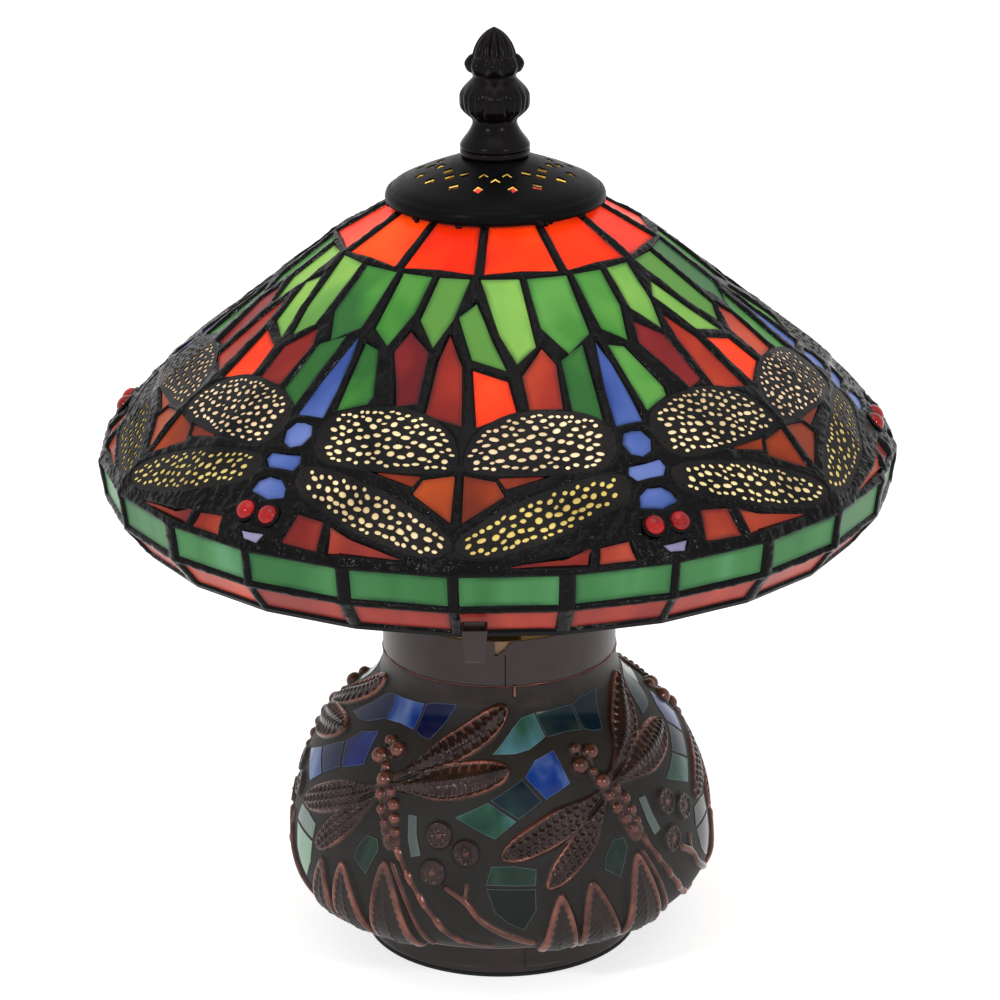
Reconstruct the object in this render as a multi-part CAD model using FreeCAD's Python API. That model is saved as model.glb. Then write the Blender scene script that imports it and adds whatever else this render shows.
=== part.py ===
"""Stained glass table lamp: a leaded dragonfly shade on a cast base with glass mosaic.

The shade is a shell of flat facets. Each glass piece is cut flat, and the lead network is the shell
with one opening for each piece. Angles are in degrees from the front (-Y) towards +X.
Millimetres, +Z up, origin under the middle of the foot.
"""

import FreeCAD
import Part
import math
import os

Vector = FreeCAD.Vector
UP = Vector(0, 0, 1)
CENTRE = Vector(0, 0, 0)

# ---- clearances ----
glass_gap = 0.2
slip_gap = 0.05
seat_gap = 0.1
joint_gap = 0.25

# ---- foot and base ----
felt_thickness = 1.0
foot_radius = 45.2
foot_wall = 2.0
foot_ring_height = 13.0
base_plate_thickness = 1.5
casting_height = 84.4
casting_belly_radius = 70.2
casting_shoulder_radius = 56.5
casting_upper_step = 5.2
casting_undercut = 5.0
casting_wall = 6.0
neck_radius = 38.4
base_dragonflies = 5
base_first_dragonfly = 34.0
tile_thickness = 2.2
tile_proud = 0.15

# ---- neck ----
collar_radius = 38.0
collar_wall = 1.0
collar_height = 15.6
collar_seam_width = 0.5
notch_width = 6.0
notch_depth = 4.8
neck_plate_thickness = 1.5
pipe_radius = 4.8
pipe_bore_radius = 3.2
pipe_tail = 6.5
nut_flats = 14.0
nut_height = 4.0
bushing_bore_radius = 3.2
bushing_wall = 1.0
bushing_height = 6.5
bushing_proud = 1.8

# ---- harp ----
saddle_thickness = 1.5
saddle_width = 12.0
saddle_hole_gap = 0.3
harp_half_span = 30.0
harp_rise = 159.6
harp_strip_width = 3.2
harp_strip_thickness = 2.2
ear_height = 8.0
ferrule_wall = 1.0
ferrule_length = 10.0
stud_radius = 3.0
stud_length = 11.0
stud_plate_radius = 7.0
stud_plate_thickness = 2.0

# ---- socket and bulb ----
socket_radius = 18.2
socket_wall = 0.6
socket_cap_rise = 9.0
socket_cap_skirt = 7.0
socket_shell_height = 34.0
socket_body_height = 12.0
screw_shell_radius = 13.8
screw_shell_wall = 0.4
bulb_tip_radius = 5.0
bulb_tip_height = 3.0
bulb_cap_radius = 13.1
bulb_cap_height = 24.0
bulb_radius = 23.5
bulb_glass_height = 64.0
bulb_top_radius = 9.0
bulb_sides = 36
key_shaft_radius = 2.0
key_knob_radius = 5.0
key_knob_length = 11.0
key_reach = 6.0
key_blade_thickness = 3.6

# ---- vent cap and finial ----
cap_radius = 34.8
cap_height = 15.0
cap_top_radius = 10.0
cap_dome_radius = 22.0
cap_dome_drop = 3.6
cap_shoulder_radius = 31.6
cap_shoulder_drop = 9.0
cap_wall = 1.0
vents = 12
vent_size = 5.0
vent_radius = 26.0
cap_sides = 48
finial_height = 40.2
finial_radius = 11.0
finial_sides = 16

# ---- shade: rings of the leaded shell, by radius to its corners and drop from the ring above ----
sides = 24
dragonflies = 6
first_dragonfly = 24.0
crown_top_radius = 30.0
ray_top_radius = 51.1
ray_top_drop = 12.3
wing_top_radius = 106.1
wing_top_drop = 43.1
shoulder_radius = 125.0
shoulder_drop = 20.2
widest_radius = 127.0
widest_drop = 4.3
border_radius = 125.5
border_drop = 11.4
rim_radius = 118.4
rim_drop = 9.2
lead_thickness = 4.0
glass_thickness = 2.6
filigree_thickness = 0.5
jewel_height = 2.2
rim_strip_height = 2.2
clip_width = 7.4
clip_height = 17.0
clip_depth = 3.4
clip_wall = 0.8
clip_angle = -3.3
clip_taper = 0.9
clip_share_above = 0.3

# ---- heights worked out from the sizes ----
casting_bottom = felt_thickness + foot_ring_height
casting_top = casting_bottom + casting_height
neck_plate_top = casting_top + neck_plate_thickness
saddle_top = neck_plate_top + saddle_thickness
socket_bottom = saddle_top + nut_height
harp_seat = saddle_top + harp_rise
cap_top = harp_seat + cap_wall
cap_rim = cap_top - cap_height
crown_slope = ray_top_drop / (ray_top_radius - crown_top_radius)
shade_top = cap_rim - seat_gap + crown_slope * (cap_radius - cap_wall - crown_top_radius)
socket_floor = socket_bottom + cap_wall
skirt_top = socket_bottom + socket_cap_rise + socket_cap_skirt
body_bottom = socket_bottom + socket_cap_rise + seat_gap
body_top = body_bottom + socket_body_height
bulb_bottom = body_top + seat_gap
key_height = skirt_top + key_shaft_radius + joint_gap * 2

# ---- the pattern of the shade ----
# One dragonfly's share of the shade, 60 degrees wide. An outline is a list of
# (angle from the dragonfly's axis, ring), where ring 1.5 is halfway from ring 1 to ring 2.

CROWN_GLASS = [
    [(2.6, 0.12), (27.4, 0.12), (28, 0.94), (2, 0.94)],
]
RAY_GLASS = {
    "glass_leaf_green": [
        [(3.5, 1.022), (13.5, 1.022), (12.5, 1.206), (9, 1.381), (4, 1.31)],
        [(-13.5, 1.022), (0, 1.022), (-0.5, 1.317), (-7, 1.405), (-12, 1.27)],
        [(3.5, 1.405), (7, 1.429), (10.5, 1.651), (10, 1.69), (5, 1.746)],
        [(-3.4, 1.389), (-4.8, 1.762), (-9.3, 1.698), (-9, 1.46)],
    ],
    "glass_spring_green": [
        [(17, 1.022), (27, 1.022), (24, 1.222), (20.5, 1.365), (15.5, 1.238)],
        [(30.5, 1.151), (34.5, 1.333), (37.5, 1.476), (30.5, 1.421), (26, 1.222)],
        [(-29, 1.022), (-16.5, 1.022), (-15, 1.365), (-19.5, 1.444), (-23, 1.302)],
    ],
    "glass_dark_red": [
        [(14, 1.317), (19.5, 1.413), (20, 1.659), (16.5, 1.675), (12, 1.429)],
    ],
    "glass_scarlet": [
        [(24.3, 1.333), (28, 1.476), (29.5, 1.754), (22.8, 1.714), (23, 1.46)],
        [(-13.5, 1.389), (-11, 1.476), (-11.7, 1.683), (-17.5, 1.698), (-18.2, 1.524)],
    ],
    "glass_orange": [
        [(-29, 1.5), (-22, 1.556), (-20.8, 1.69), (-27.5, 1.762)],
    ],
}
BODY_GLASS = [
    [(0.3, 1.413), (2.4, 1.556), (2.6, 1.802), (-2.6, 1.802), (-2.2, 1.603)],
    [(-2.4, 1.846), (2.4, 1.846), (2.2, 1.937), (-2.2, 1.937)],
    [(-2.6, 2.04), (2.6, 2.04), (2.6, 2.176), (-2.6, 2.176)],
    [(-1.3, 2.32), (1.3, 2.32), (2.8, 2.528), (-2.8, 2.528)],
]
TAIL_LIGHT = [(-1.6, 2.84), (1.6, 2.84), (1.9, 2.96), (-1.9, 2.96)]
SEAM_GLASS = [
    [(26, 2.12), (29.1, 2.05), (29.1, 2.48), (25.5, 2.34)],
    [(17, 2.06), (24, 2.06), (23, 2.172)],
]
LOW_GLASS = [
    [(6.5, 2.68), (10.2, 2.7), (10.5, 2.928), (6, 2.928)],
    [(12.5, 2.74), (15.5, 2.772), (21, 2.928), (12.7, 2.928)],
]
UPPER_OPENING = [(6, 1.84), (17, 1.757), (27, 1.88), (26, 1.965), (6, 1.965)]
LOWER_OPENING = [(6, 2.17), (13, 2.2), (26.5, 2.7), (25.5, 2.83), (6, 2.39)]
UPPER_WING = [(4.5, 1.825), (9.5, 1.751), (17, 1.727), (24.5, 1.778), (29, 1.889), (28, 1.985), (4.5, 1.985)]
LOWER_WING = [(4.5, 2.12), (12, 2.14), (20, 2.32), (28, 2.68), (28, 2.88), (20, 2.76), (9, 2.5), (4, 2.34)]
EYE_ANGLE = 2.8
EYE_RING = 2.69
EYE_HALF_ANGLE = 1.45
EYE_HALF_RING = 0.12
BORDER_LEAD_ANGLE = 0.7
GREEN_BORDER = (4.09, 4.89)
RED_BORDER = (5.14, 5.87)

# ---- the pattern of the base ----
# One dragonfly's share, 72 degrees wide: (angle from its thorax, share of the way down the casting).
UPPER_BAND = [
    [(-35, 0.206), (-25, 0.1), (-15.6, 0.084), (-14, 0.17), (-22, 0.206)],
    [(-14.4, 0.082), (2.3, 0.082), (1.4, 0.165), (-6, 0.163), (-12.9, 0.17)],
    [(3.3, 0.082), (18.5, 0.072), (20, 0.093), (9, 0.19), (2.6, 0.165)],
]
LOWER_BAND = [
    [(-44, 0.392), (-33.6, 0.36), (-30, 0.415), (-35.5, 0.469)],
    [(-32.3, 0.35), (-26.5, 0.299), (-20.6, 0.356), (-28.7, 0.409)],
    [(-25, 0.285), (-18.5, 0.222), (-11, 0.211), (-11, 0.325), (-19.2, 0.352)],
]
SLIVER_TILE = [(10.5, 0.422), (12.9, 0.422), (14.7, 0.53), (12.3, 0.541)]
MOSS_TILE = [(-2, 0.51), (1.5, 0.525), (-1.5, 0.634), (-6, 0.582)]
LOW_TILES = [
    [(34, 0.593), (37, 0.546), (47.5, 0.556), (47, 0.602)],
    [(34, 0.617), (47.5, 0.617), (47, 0.68), (44.5, 0.75), (39.5, 0.711), (35.5, 0.66)],
]


# ---- helpers ----


def round_point(angle, radius, height):
    """The point at an angle round the lamp's axis."""
    turn = math.radians(angle)
    return Vector(radius * math.sin(turn), -radius * math.cos(turn), height)


def flat_face(points):
    return Part.Face(Part.makePolygon([*points, points[0]]))


def revolved(outline):
    """A solid of revolution from an outline of (radius, height) points."""
    face = flat_face([Vector(radius, 0, height) for radius, height in outline])
    return face.revolve(CENTRE, UP, 360)


def disc(radius, bottom, height):
    return Part.makeCylinder(radius, height, Vector(0, 0, bottom))


def tube(outer_radius, inner_radius, bottom, height):
    return disc(outer_radius, bottom, height).cut(disc(inner_radius, bottom, height))


def turned(shape, angle):
    """A copy of a shape turned about the lamp's axis, with positive angles from -Y towards +X."""
    copy = shape.copy()
    copy.rotate(CENTRE, UP, angle)
    return copy


def hex_nut(flats, bore_radius, bottom, height):
    corner = flats / math.sqrt(3)
    corners = [round_point(60 * k, corner, bottom) for k in range(6)]
    return flat_face(corners).extrude(UP * height).cut(disc(bore_radius, bottom, height))


def flat_outline(points, on_surface):
    """The points moved onto one plane near them and near a point of the surface, and its normal."""
    middle = sum(points, Vector()) * (1 / len(points))
    normal = Vector()
    for first, second in zip(points, points[1:] + points[:1]):
        normal += (first - middle).cross(second - middle)
    normal.normalize()
    if normal.dot(Vector(middle.x, middle.y, 0)) < 0:
        normal = -normal
    on_plane = (middle + on_surface) * 0.5
    return [point - normal * (point - on_plane).dot(normal) for point in points], normal


def plate(points, normal, low, high, inset=0.0):
    """A flat plate on an outline, from low to high along the normal."""
    wire = Part.makePolygon([*points, points[0]])
    if inset:
        wire = wire.makeOffset2D(-inset, 2)
    face = Part.Face(wire)
    face.translate(normal * low)
    return face.extrude(normal * (high - low))


# ---- the shade's shell ----

SHADE_RINGS = [(crown_top_radius, shade_top)]
for ring_radius, ring_drop in (
    (ray_top_radius, ray_top_drop),
    (wing_top_radius, wing_top_drop),
    (shoulder_radius, shoulder_drop),
    (widest_radius, widest_drop),
    (border_radius, border_drop),
    (rim_radius, rim_drop),
):
    SHADE_RINGS.append((ring_radius, SHADE_RINGS[-1][1] - ring_drop))

side_angle = 360 / sides
share_angle = 360 / dragonflies
half_share = share_angle / 2
last_ring = len(SHADE_RINGS) - 1


def inset_profile(depth):
    """The shade's profile moved in by a depth, with mitred corners."""
    normals = []
    for (r0, z0), (r1, z1) in zip(SHADE_RINGS, SHADE_RINGS[1:]):
        length = math.hypot(r1 - r0, z1 - z0)
        normals.append(((z0 - z1) / length, (r1 - r0) / length))
    profile = []
    for index, (radius, height) in enumerate(SHADE_RINGS):
        before = normals[max(index - 1, 0)]
        after = normals[min(index, last_ring - 1)]
        across = (before[0] + after[0]) / 2, (before[1] + after[1]) / 2
        scale = depth / (across[0] ** 2 + across[1] ** 2)
        profile.append((radius - scale * across[0], height - scale * across[1]))
    return profile


def shell_point(angle, ring, depth):
    """The point of the faceted shell at an angle from a dragonfly's axis, a ring and a depth."""
    profile = inset_profile(depth)
    lower = min(int(ring), last_ring - 1)
    share = ring - lower
    radius = profile[lower][0] * (1 - share) + profile[lower + 1][0] * share
    height = profile[lower][1] * (1 - share) + profile[lower + 1][1] * share
    side = math.floor(angle / side_angle)
    along = angle / side_angle - side
    start = round_point(first_dragonfly + side * side_angle, radius, height)
    end = round_point(first_dragonfly + (side + 1) * side_angle, radius, height)
    return start * (1 - along) + end * along


def faceted_solid(section, angles, closed):
    """A solid of flat faces: a section of (radius, height) points carried from angle to angle."""
    edges = list(zip(section, section[1:] + section[:1]))
    ends = angles[1:] + angles[:1] if closed else angles[1:]
    faces = []
    for left, right in zip(angles, ends):
        for start, end in edges:
            corners = [round_point(left, *start), round_point(right, *start)]
            corners += [round_point(right, *end), round_point(left, *end)]
            apart = [corner for k, corner in enumerate(corners) if corner.distanceToPoint(corners[k - 1]) > 0.001]
            if len(apart) > 2:
                faces.append(flat_face(apart))
    if not closed:
        for angle in (angles[0], angles[-1]):
            faces.append(flat_face([round_point(angle, *point) for point in section]))
    shell = Part.makeShell(faces)
    shell.sewShape()
    solid = Part.makeSolid(shell)
    if solid.Volume < 0:
        solid.reverse()
    return solid


def many_sided(section, count):
    """A solid like one of revolution, with a number of flat sides."""
    return faceted_solid(section, [360 / count * k for k in range(count)], True).removeSplitter()


def faceted_shell(outer_depth, inner_depth):
    """One dragonfly's share of the shell as a solid of flat faces."""
    count = round(share_angle / side_angle)
    angles = [first_dragonfly - half_share + k * side_angle for k in range(count + 1)]
    section = inset_profile(outer_depth) + list(reversed(inset_profile(inner_depth)))
    return faceted_solid(section, angles, False)


def mirrored(outlines):
    """Each outline and its mirror image across the dragonfly's axis."""
    return outlines + [[(-angle, ring) for angle, ring in reversed(outline)] for outline in outlines]


def pane(outline, thickness, inset=0.0, lift=0.0):
    """A flat plate of a thickness in the middle of the shell, on a pattern outline."""
    depth = lead_thickness / 2
    points = [shell_point(angle, ring, depth) for angle, ring in outline]
    angle = sum(angle for angle, ring in outline) / len(outline)
    ring = sum(ring for angle, ring in outline) / len(outline)
    points, normal = flat_outline(points, shell_point(angle, ring, depth))
    return plate(points, normal, lift - thickness / 2, lift + thickness / 2, inset)


def eye_outlines():
    outline = []
    for corner in range(6):
        turn = math.radians(60 * corner)
        angle = EYE_ANGLE + EYE_HALF_ANGLE * math.cos(turn)
        outline.append((angle, EYE_RING + EYE_HALF_RING * math.sin(turn)))
    return mirrored([outline])


def border_outlines(rings):
    top, bottom = rings
    outlines = []
    for side in range(round(-half_share / side_angle), round(half_share / side_angle)):
        left = side * side_angle + BORDER_LEAD_ANGLE
        right = (side + 1) * side_angle - BORDER_LEAD_ANGLE
        outlines.append([(left, top), (right, top), (right, bottom), (left, bottom)])
    return outlines


def flat_glass_outlines():
    """The outlines of each colour of flat glass in one dragonfly's share."""
    outlines = {"glass_crown_orange": mirrored(CROWN_GLASS)}
    outlines.update(RAY_GLASS)
    outlines["glass_dragonfly_blue"] = BODY_GLASS
    outlines["glass_lavender"] = [TAIL_LIGHT]
    outlines["glass_amber"] = mirrored(SEAM_GLASS)
    outlines["glass_rose"] = mirrored(LOW_GLASS)
    outlines["glass_border_green"] = border_outlines(GREEN_BORDER)
    outlines["glass_border_red"] = border_outlines(RED_BORDER)
    return outlines


def around_shade(shapes):
    """The shapes of one dragonfly's share, repeated round the shade."""
    return [turned(shape, share_angle * k) for k in range(dragonflies) for shape in shapes]


def opening_tool(outline):
    """The prism that cuts a piece's opening through the lead."""
    return pane(outline, lead_thickness * 2.2)


def reaches_next_share(outline):
    return max(angle for angle, ring in outline) > half_share


def shade_lead():
    """The lead network: the shell with an opening for each piece of glass."""
    outlines = [outline for group in flat_glass_outlines().values() for outline in group]
    outlines += mirrored([UPPER_OPENING, LOWER_OPENING]) + eye_outlines()
    tools = [opening_tool(outline) for outline in outlines]
    shared = [opening_tool(outline) for outline in outlines if reaches_next_share(outline)]
    tools += [turned(tool, -share_angle) for tool in shared]
    return around_shade([faceted_shell(0, lead_thickness).cut(tools)])


def wing_layer(outlines, outer_depth, inner_depth, inset):
    """A layer of the shell, folded at its facets, on the outlines of a dragonfly's wings."""
    layer = faceted_shell(outer_depth, inner_depth)
    cutters = [pane(outline, lead_thickness * 3, inset) for outline in mirrored(outlines)]
    return around_shade([layer.common(cutter) for cutter in cutters])


def wing_glass():
    glass_top = (lead_thickness - glass_thickness) / 2
    outlines = [UPPER_OPENING, LOWER_OPENING]
    return wing_layer(outlines, glass_top, glass_top + glass_thickness, glass_gap)


def wing_filigree():
    """The metal plates on the wings. Their piercing is too fine for this model."""
    return wing_layer([UPPER_WING, LOWER_WING], -filigree_thickness, 0, 0)


def eye_jewels():
    """Red glass eyes, each a low faceted dome standing in its opening."""
    jewels = []
    for outline in eye_outlines():
        foot = pane(outline, glass_thickness, glass_gap)
        table = pane(outline, glass_thickness, glass_gap * 5, jewel_height)
        jewels.append(foot.fuse(table))
    return around_shade(jewels)


def rim_strip():
    """The metal strip round the shade's lower edge, a ring of the same facets."""
    (above_radius, above_height), (edge_radius, edge_height) = SHADE_RINGS[-2:]
    length = math.hypot(edge_radius - above_radius, edge_height - above_height)
    step = rim_strip_height / length
    drop_in = (edge_radius - above_radius) * step, (edge_height - above_height) * step
    inner_radius, inner_height = inset_profile(lead_thickness)[-1]
    section = [
        (edge_radius, edge_height),
        (edge_radius + drop_in[0], edge_height + drop_in[1]),
        (inner_radius + drop_in[0], inner_height + drop_in[1]),
        (inner_radius, inner_height),
    ]
    angles = [first_dragonfly + side_angle * k for k in range(sides)]
    return faceted_solid(section, angles, True)


def facet_radius(corner_radius, angle):
    """How far a 24-sided ring lies from the axis at an angle, between its corners."""
    from_middle = (angle - first_dragonfly) % side_angle - side_angle / 2
    return corner_radius * math.cos(math.radians(side_angle / 2)) / math.cos(math.radians(from_middle))


def rim_clip():
    """The folded clip that closes the rim strip: a tapered channel, open at top and bottom."""
    top = SHADE_RINGS[-1][1] + clip_height * clip_share_above
    share = (top - SHADE_RINGS[-1][1]) / rim_drop
    top_radius = rim_radius + (border_radius - rim_radius) * share
    back = facet_radius(max(top_radius, rim_radius), clip_angle) + seat_gap

    def channel(height, shrink):
        reach, front = clip_width / 2 - shrink, -back - clip_depth + shrink
        corners = [(-reach, -back + min(shrink, 0)), (reach, -back), (reach, front), (-reach, front)]
        return Part.makePolygon([Vector(x, y, height) for x, y in [*corners, corners[0]]])

    bottom = top - clip_height
    body = Part.makeLoft([channel(top, 0), channel(bottom, clip_taper)], True, True)
    hollow = Part.makeLoft([channel(top, clip_wall), channel(bottom, clip_taper + clip_wall)], True, True)
    return turned(body.cut(hollow), clip_angle)


# ---- vent cap and finial ----


def vent_cap():
    """A dome with a ring of diamond vents in its slope."""
    slope_top, slope_bottom = cap_top - cap_dome_drop, cap_top - cap_shoulder_drop
    hole = stud_radius + seat_gap * 3
    dome = many_sided([
        (hole, cap_top),
        (cap_top_radius, cap_top),
        (cap_dome_radius, slope_top),
        (cap_shoulder_radius, slope_bottom),
        (cap_radius, cap_rim),
        (cap_radius - cap_wall, cap_rim),
        (cap_shoulder_radius - cap_wall * 0.8, slope_bottom - cap_wall * 0.6),
        (cap_top_radius, harp_seat),
        (hole, harp_seat),
    ], cap_sides)
    half = vent_size / 2
    corners = [(0, -vent_radius - half), (half, -vent_radius), (0, -vent_radius + half), (-half, -vent_radius)]
    diamond = flat_face([Vector(x, y, cap_rim) for x, y in corners]).extrude(UP * cap_height)
    return dome.cut([turned(diamond, 360 / vents * k) for k in range(vents)])


def finial():
    """A fluted cast finial: a foot, a neck, an acorn body and its tip, bored for the stud."""
    outline = [(0, 0), (0.96, 0), (0.62, 0.22), (1, 0.38), (0.6, 0.6), (0.8, 0.7), (0.3, 0.96), (0, 1)]
    body = many_sided([(finial_radius * r, cap_top + finial_height * h) for r, h in outline], finial_sides)
    bore_top = harp_seat + stud_length + seat_gap * 5
    return body.cut(disc(stud_radius + slip_gap, cap_top - 1, bore_top - cap_top + 1))


# ---- foot and base ----


def casting_profile():
    """The casting's outside from the neck down to the foot: (radius, share of its height)."""
    return [
        (neck_radius, 1),
        (neck_radius + 0.6, 0.91),
        (casting_shoulder_radius, 0.7),
        (casting_belly_radius - casting_upper_step, 0.55),
        (casting_belly_radius, 0.37),
        (casting_belly_radius, 0.15),
        (casting_belly_radius - casting_undercut, 0.055),
        (foot_radius, 0),
    ]


def casting_blank():
    """The casting before its tile pockets, bored through from the neck to the foot."""
    outside = [(radius, casting_bottom + casting_height * share) for radius, share in casting_profile()]
    bore = neck_radius - casting_wall
    return revolved([*outside, (bore, casting_bottom), (bore, casting_top)])


PROFILE_STEPS = 120
profile_wire = Part.makePolygon(
    [Vector(radius, 0, casting_bottom + casting_height * share) for radius, share in casting_profile()]
)
profile_points = profile_wire.discretize(Number=PROFILE_STEPS + 1)


def casting_point(angle, share):
    """The point of the casting's outside at an angle and a share of the way down it."""
    place = share * PROFILE_STEPS
    step = min(int(place), PROFILE_STEPS - 1)
    point = profile_points[step] + (profile_points[step + 1] - profile_points[step]) * (place - step)
    return round_point(angle, point.x, point.z)


def tile_outlines():
    """The outlines of each colour of tile, all round the base."""
    groups = {"tiles_cobalt": [], "tiles_teal": [], "tiles_pale_green": [], "tiles_dark_green": []}
    for share in range(base_dragonflies):
        thorax = base_first_dragonfly - 360 / base_dragonflies * share
        blue = "tiles_cobalt" if share % 2 else "tiles_teal"
        low = "tiles_pale_green" if share in (2, 4) else "tiles_dark_green"
        members = [(blue, UPPER_BAND), (blue, LOWER_BAND[:2]), ("tiles_cobalt", LOWER_BAND[2:])]
        members += [("tiles_pale_green", [SLIVER_TILE]), ("tiles_dark_green", [MOSS_TILE]), (low, LOW_TILES)]
        for group, outlines in members:
            for outline in outlines:
                groups[group].append([(thorax + angle, drop) for angle, drop in outline])
    return groups


def tile(outline, low, high, inset=0.0):
    """A flat tile plate, measured outwards from the plane through its corners."""
    points = [casting_point(angle, share) for angle, share in outline]
    middle = sum(points, Vector()) * (1 / len(points))
    points, normal = flat_outline(points, middle)
    return plate(points, normal, low, high, inset)


def base_casting():
    pockets = []
    for outlines in tile_outlines().values():
        pockets += [tile(outline, -tile_thickness, tile_thickness) for outline in outlines]
    return casting_blank().cut(pockets)


def tiles(group):
    outlines = tile_outlines()[group]
    return [tile(outline, -tile_thickness, tile_proud, glass_gap) for outline in outlines]


def foot_ring():
    wall = tube(foot_radius, foot_radius - foot_wall, felt_thickness, foot_ring_height)
    hole = Part.makeCylinder(
        bushing_bore_radius + bushing_wall + slip_gap,
        foot_radius,
        Vector(0, foot_radius / 2, bushing_height),
        Vector(0, 1, 0),
    )
    return wall.cut(hole)


def base_plate():
    radius = foot_radius - foot_wall - glass_gap
    return tube(radius, pipe_radius + joint_gap, casting_bottom - base_plate_thickness, base_plate_thickness)


def cord_bushing():
    """The lined hole at the back of the foot that the cord comes in by."""
    back = Vector(0, 1, 0)
    length = foot_wall + 2 * bushing_proud
    start = Vector(0, foot_radius - foot_wall - bushing_proud, bushing_height)
    sleeve = Part.makeCylinder(bushing_bore_radius + bushing_wall, length, start, back)
    return sleeve.cut(Part.makeCylinder(bushing_bore_radius, length, start, back))


# ---- neck ----


def neck_collar():
    """The sheet band round the neck, split at the front with a notch in its top edge."""
    band = tube(collar_radius, collar_radius - collar_wall, casting_top, collar_height)
    top = casting_top + collar_height
    seam = Part.makeBox(
        collar_seam_width,
        collar_radius,
        collar_height * 2,
        Vector(notch_width * 0.3, -collar_radius * 1.5, casting_top - 1),
    )
    left, right = -notch_width * 0.3, notch_width * 0.7
    corners = [(left, top + 1), (left, top - notch_depth), (left + 1, top - notch_depth), (right, top), (right, top + 1)]
    notch = flat_face([Vector(x, -collar_radius * 1.5, z) for x, z in corners])
    return band.cut([seam, notch.extrude(Vector(0, collar_radius, 0))])


def neck_plate():
    radius = collar_radius - collar_wall - glass_gap
    return tube(radius, pipe_radius + joint_gap, casting_top, neck_plate_thickness)


def lamp_pipe():
    bottom = casting_bottom - base_plate_thickness - pipe_tail
    top = socket_bottom + cap_wall + nut_height / 2
    return tube(pipe_radius, pipe_bore_radius, bottom, top - bottom)


def pipe_nuts():
    """The nuts that clamp the base plate, casting, neck plate and saddle on the pipe."""
    plate_bottom = casting_bottom - base_plate_thickness
    bore = pipe_radius + slip_gap
    lower = hex_nut(nut_flats, bore, plate_bottom - nut_height, nut_height)
    upper = hex_nut(nut_flats, bore, saddle_top, nut_height)
    return [lower, upper]


# ---- harp ----


def box_about(centre_x, length, width, bottom, height):
    """A box with its middle at a place along X."""
    return Part.makeBox(length, width, height, Vector(centre_x - length / 2, -width / 2, bottom))


def harp_saddle():
    """The strip under the socket, with an upturned ear at each end for the harp."""
    reach = harp_half_span + harp_strip_thickness / 2
    strip = box_about(0, 2 * reach, saddle_width, neck_plate_top, saddle_thickness)
    ears = [
        box_about(side * harp_half_span, harp_strip_thickness, harp_strip_width, saddle_top, ear_height)
        for side in (-1, 1)
    ]
    hole = disc(pipe_radius + saddle_hole_gap, neck_plate_top, saddle_thickness)
    return strip.fuse(ears).removeSplitter().cut(hole)


def harp():
    """The strip loop that carries the shade, with the plate and stud on top of it."""
    foot = saddle_top + ear_height + joint_gap
    half = harp_strip_thickness / 2
    spring = harp_seat - stud_plate_thickness - harp_half_span

    def loop(radius):
        left, right = Vector(-radius, 0, spring), Vector(radius, 0, spring)
        arc = Part.Arc(left, Vector(0, 0, spring + radius), right).toShape()
        return left, arc, right

    outer_left, outer_arc, outer_right = loop(harp_half_span + half)
    inner_left, inner_arc, inner_right = loop(harp_half_span - half)

    def down(point):
        return Vector(point.x, 0, foot)

    edges = [outer_arc, Part.makeLine(outer_right, down(outer_right))]
    edges += [Part.makeLine(down(outer_right), down(inner_right)), Part.makeLine(down(inner_right), inner_right)]
    edges += [inner_arc, Part.makeLine(inner_left, down(inner_left))]
    edges += [Part.makeLine(down(inner_left), down(outer_left)), Part.makeLine(down(outer_left), outer_left)]
    strip = Part.Face(Part.Wire(edges))
    strip.translate(Vector(0, -harp_strip_width / 2, 0))
    bow = strip.extrude(Vector(0, harp_strip_width, 0))
    stud_plate = disc(stud_plate_radius, harp_seat - stud_plate_thickness, stud_plate_thickness)
    return bow.fuse([stud_plate, disc(stud_radius, harp_seat, stud_length)])


def harp_ferrule(side):
    """A sleeve that locks one leg of the harp to its ear."""
    length, width = harp_strip_thickness + 2 * seat_gap, harp_strip_width + 2 * seat_gap
    bottom = saddle_top + seat_gap
    outer = box_about(0, length + 2 * ferrule_wall, width + 2 * ferrule_wall, bottom, ferrule_length)
    sleeve = outer.cut(box_about(0, length, width, bottom, ferrule_length))
    sleeve.translate(Vector(side * harp_half_span, 0, 0))
    return sleeve


# ---- socket and bulb ----


def socket_cap():
    """The socket's lower cup, threaded on the pipe."""
    hub = pipe_radius + slip_gap
    outer = socket_radius + socket_wall + seat_gap
    flare, skirt = socket_bottom + socket_cap_rise, socket_bottom + socket_cap_rise + socket_cap_skirt
    outline = [(hub, socket_bottom), (hub + 4, socket_bottom), (outer, flare), (outer, skirt)]
    outline += [(outer - socket_wall, skirt), (outer - socket_wall, flare), (hub, socket_floor)]
    return revolved(outline)


def socket_shell():
    shell = tube(socket_radius, socket_radius - socket_wall, body_bottom, socket_shell_height)
    hole = Part.makeCylinder(
        key_shaft_radius + joint_gap, socket_radius * 2, Vector(0, 0, key_height), Vector(0, 1, 0)
    )
    return shell.cut(hole)


def socket_body():
    """The insulating block with the switch in it, in the foot of the shell."""
    block = disc(socket_radius - socket_wall - seat_gap, body_bottom, socket_body_height)
    seat = Part.makeCylinder(
        key_shaft_radius + slip_gap, socket_radius * 2, Vector(0, 0, key_height), Vector(0, 1, 0)
    )
    return block.cut(seat)


def screw_shell():
    height = socket_shell_height - socket_body_height
    return tube(screw_shell_radius, screw_shell_radius - screw_shell_wall, body_top, height)


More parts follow.
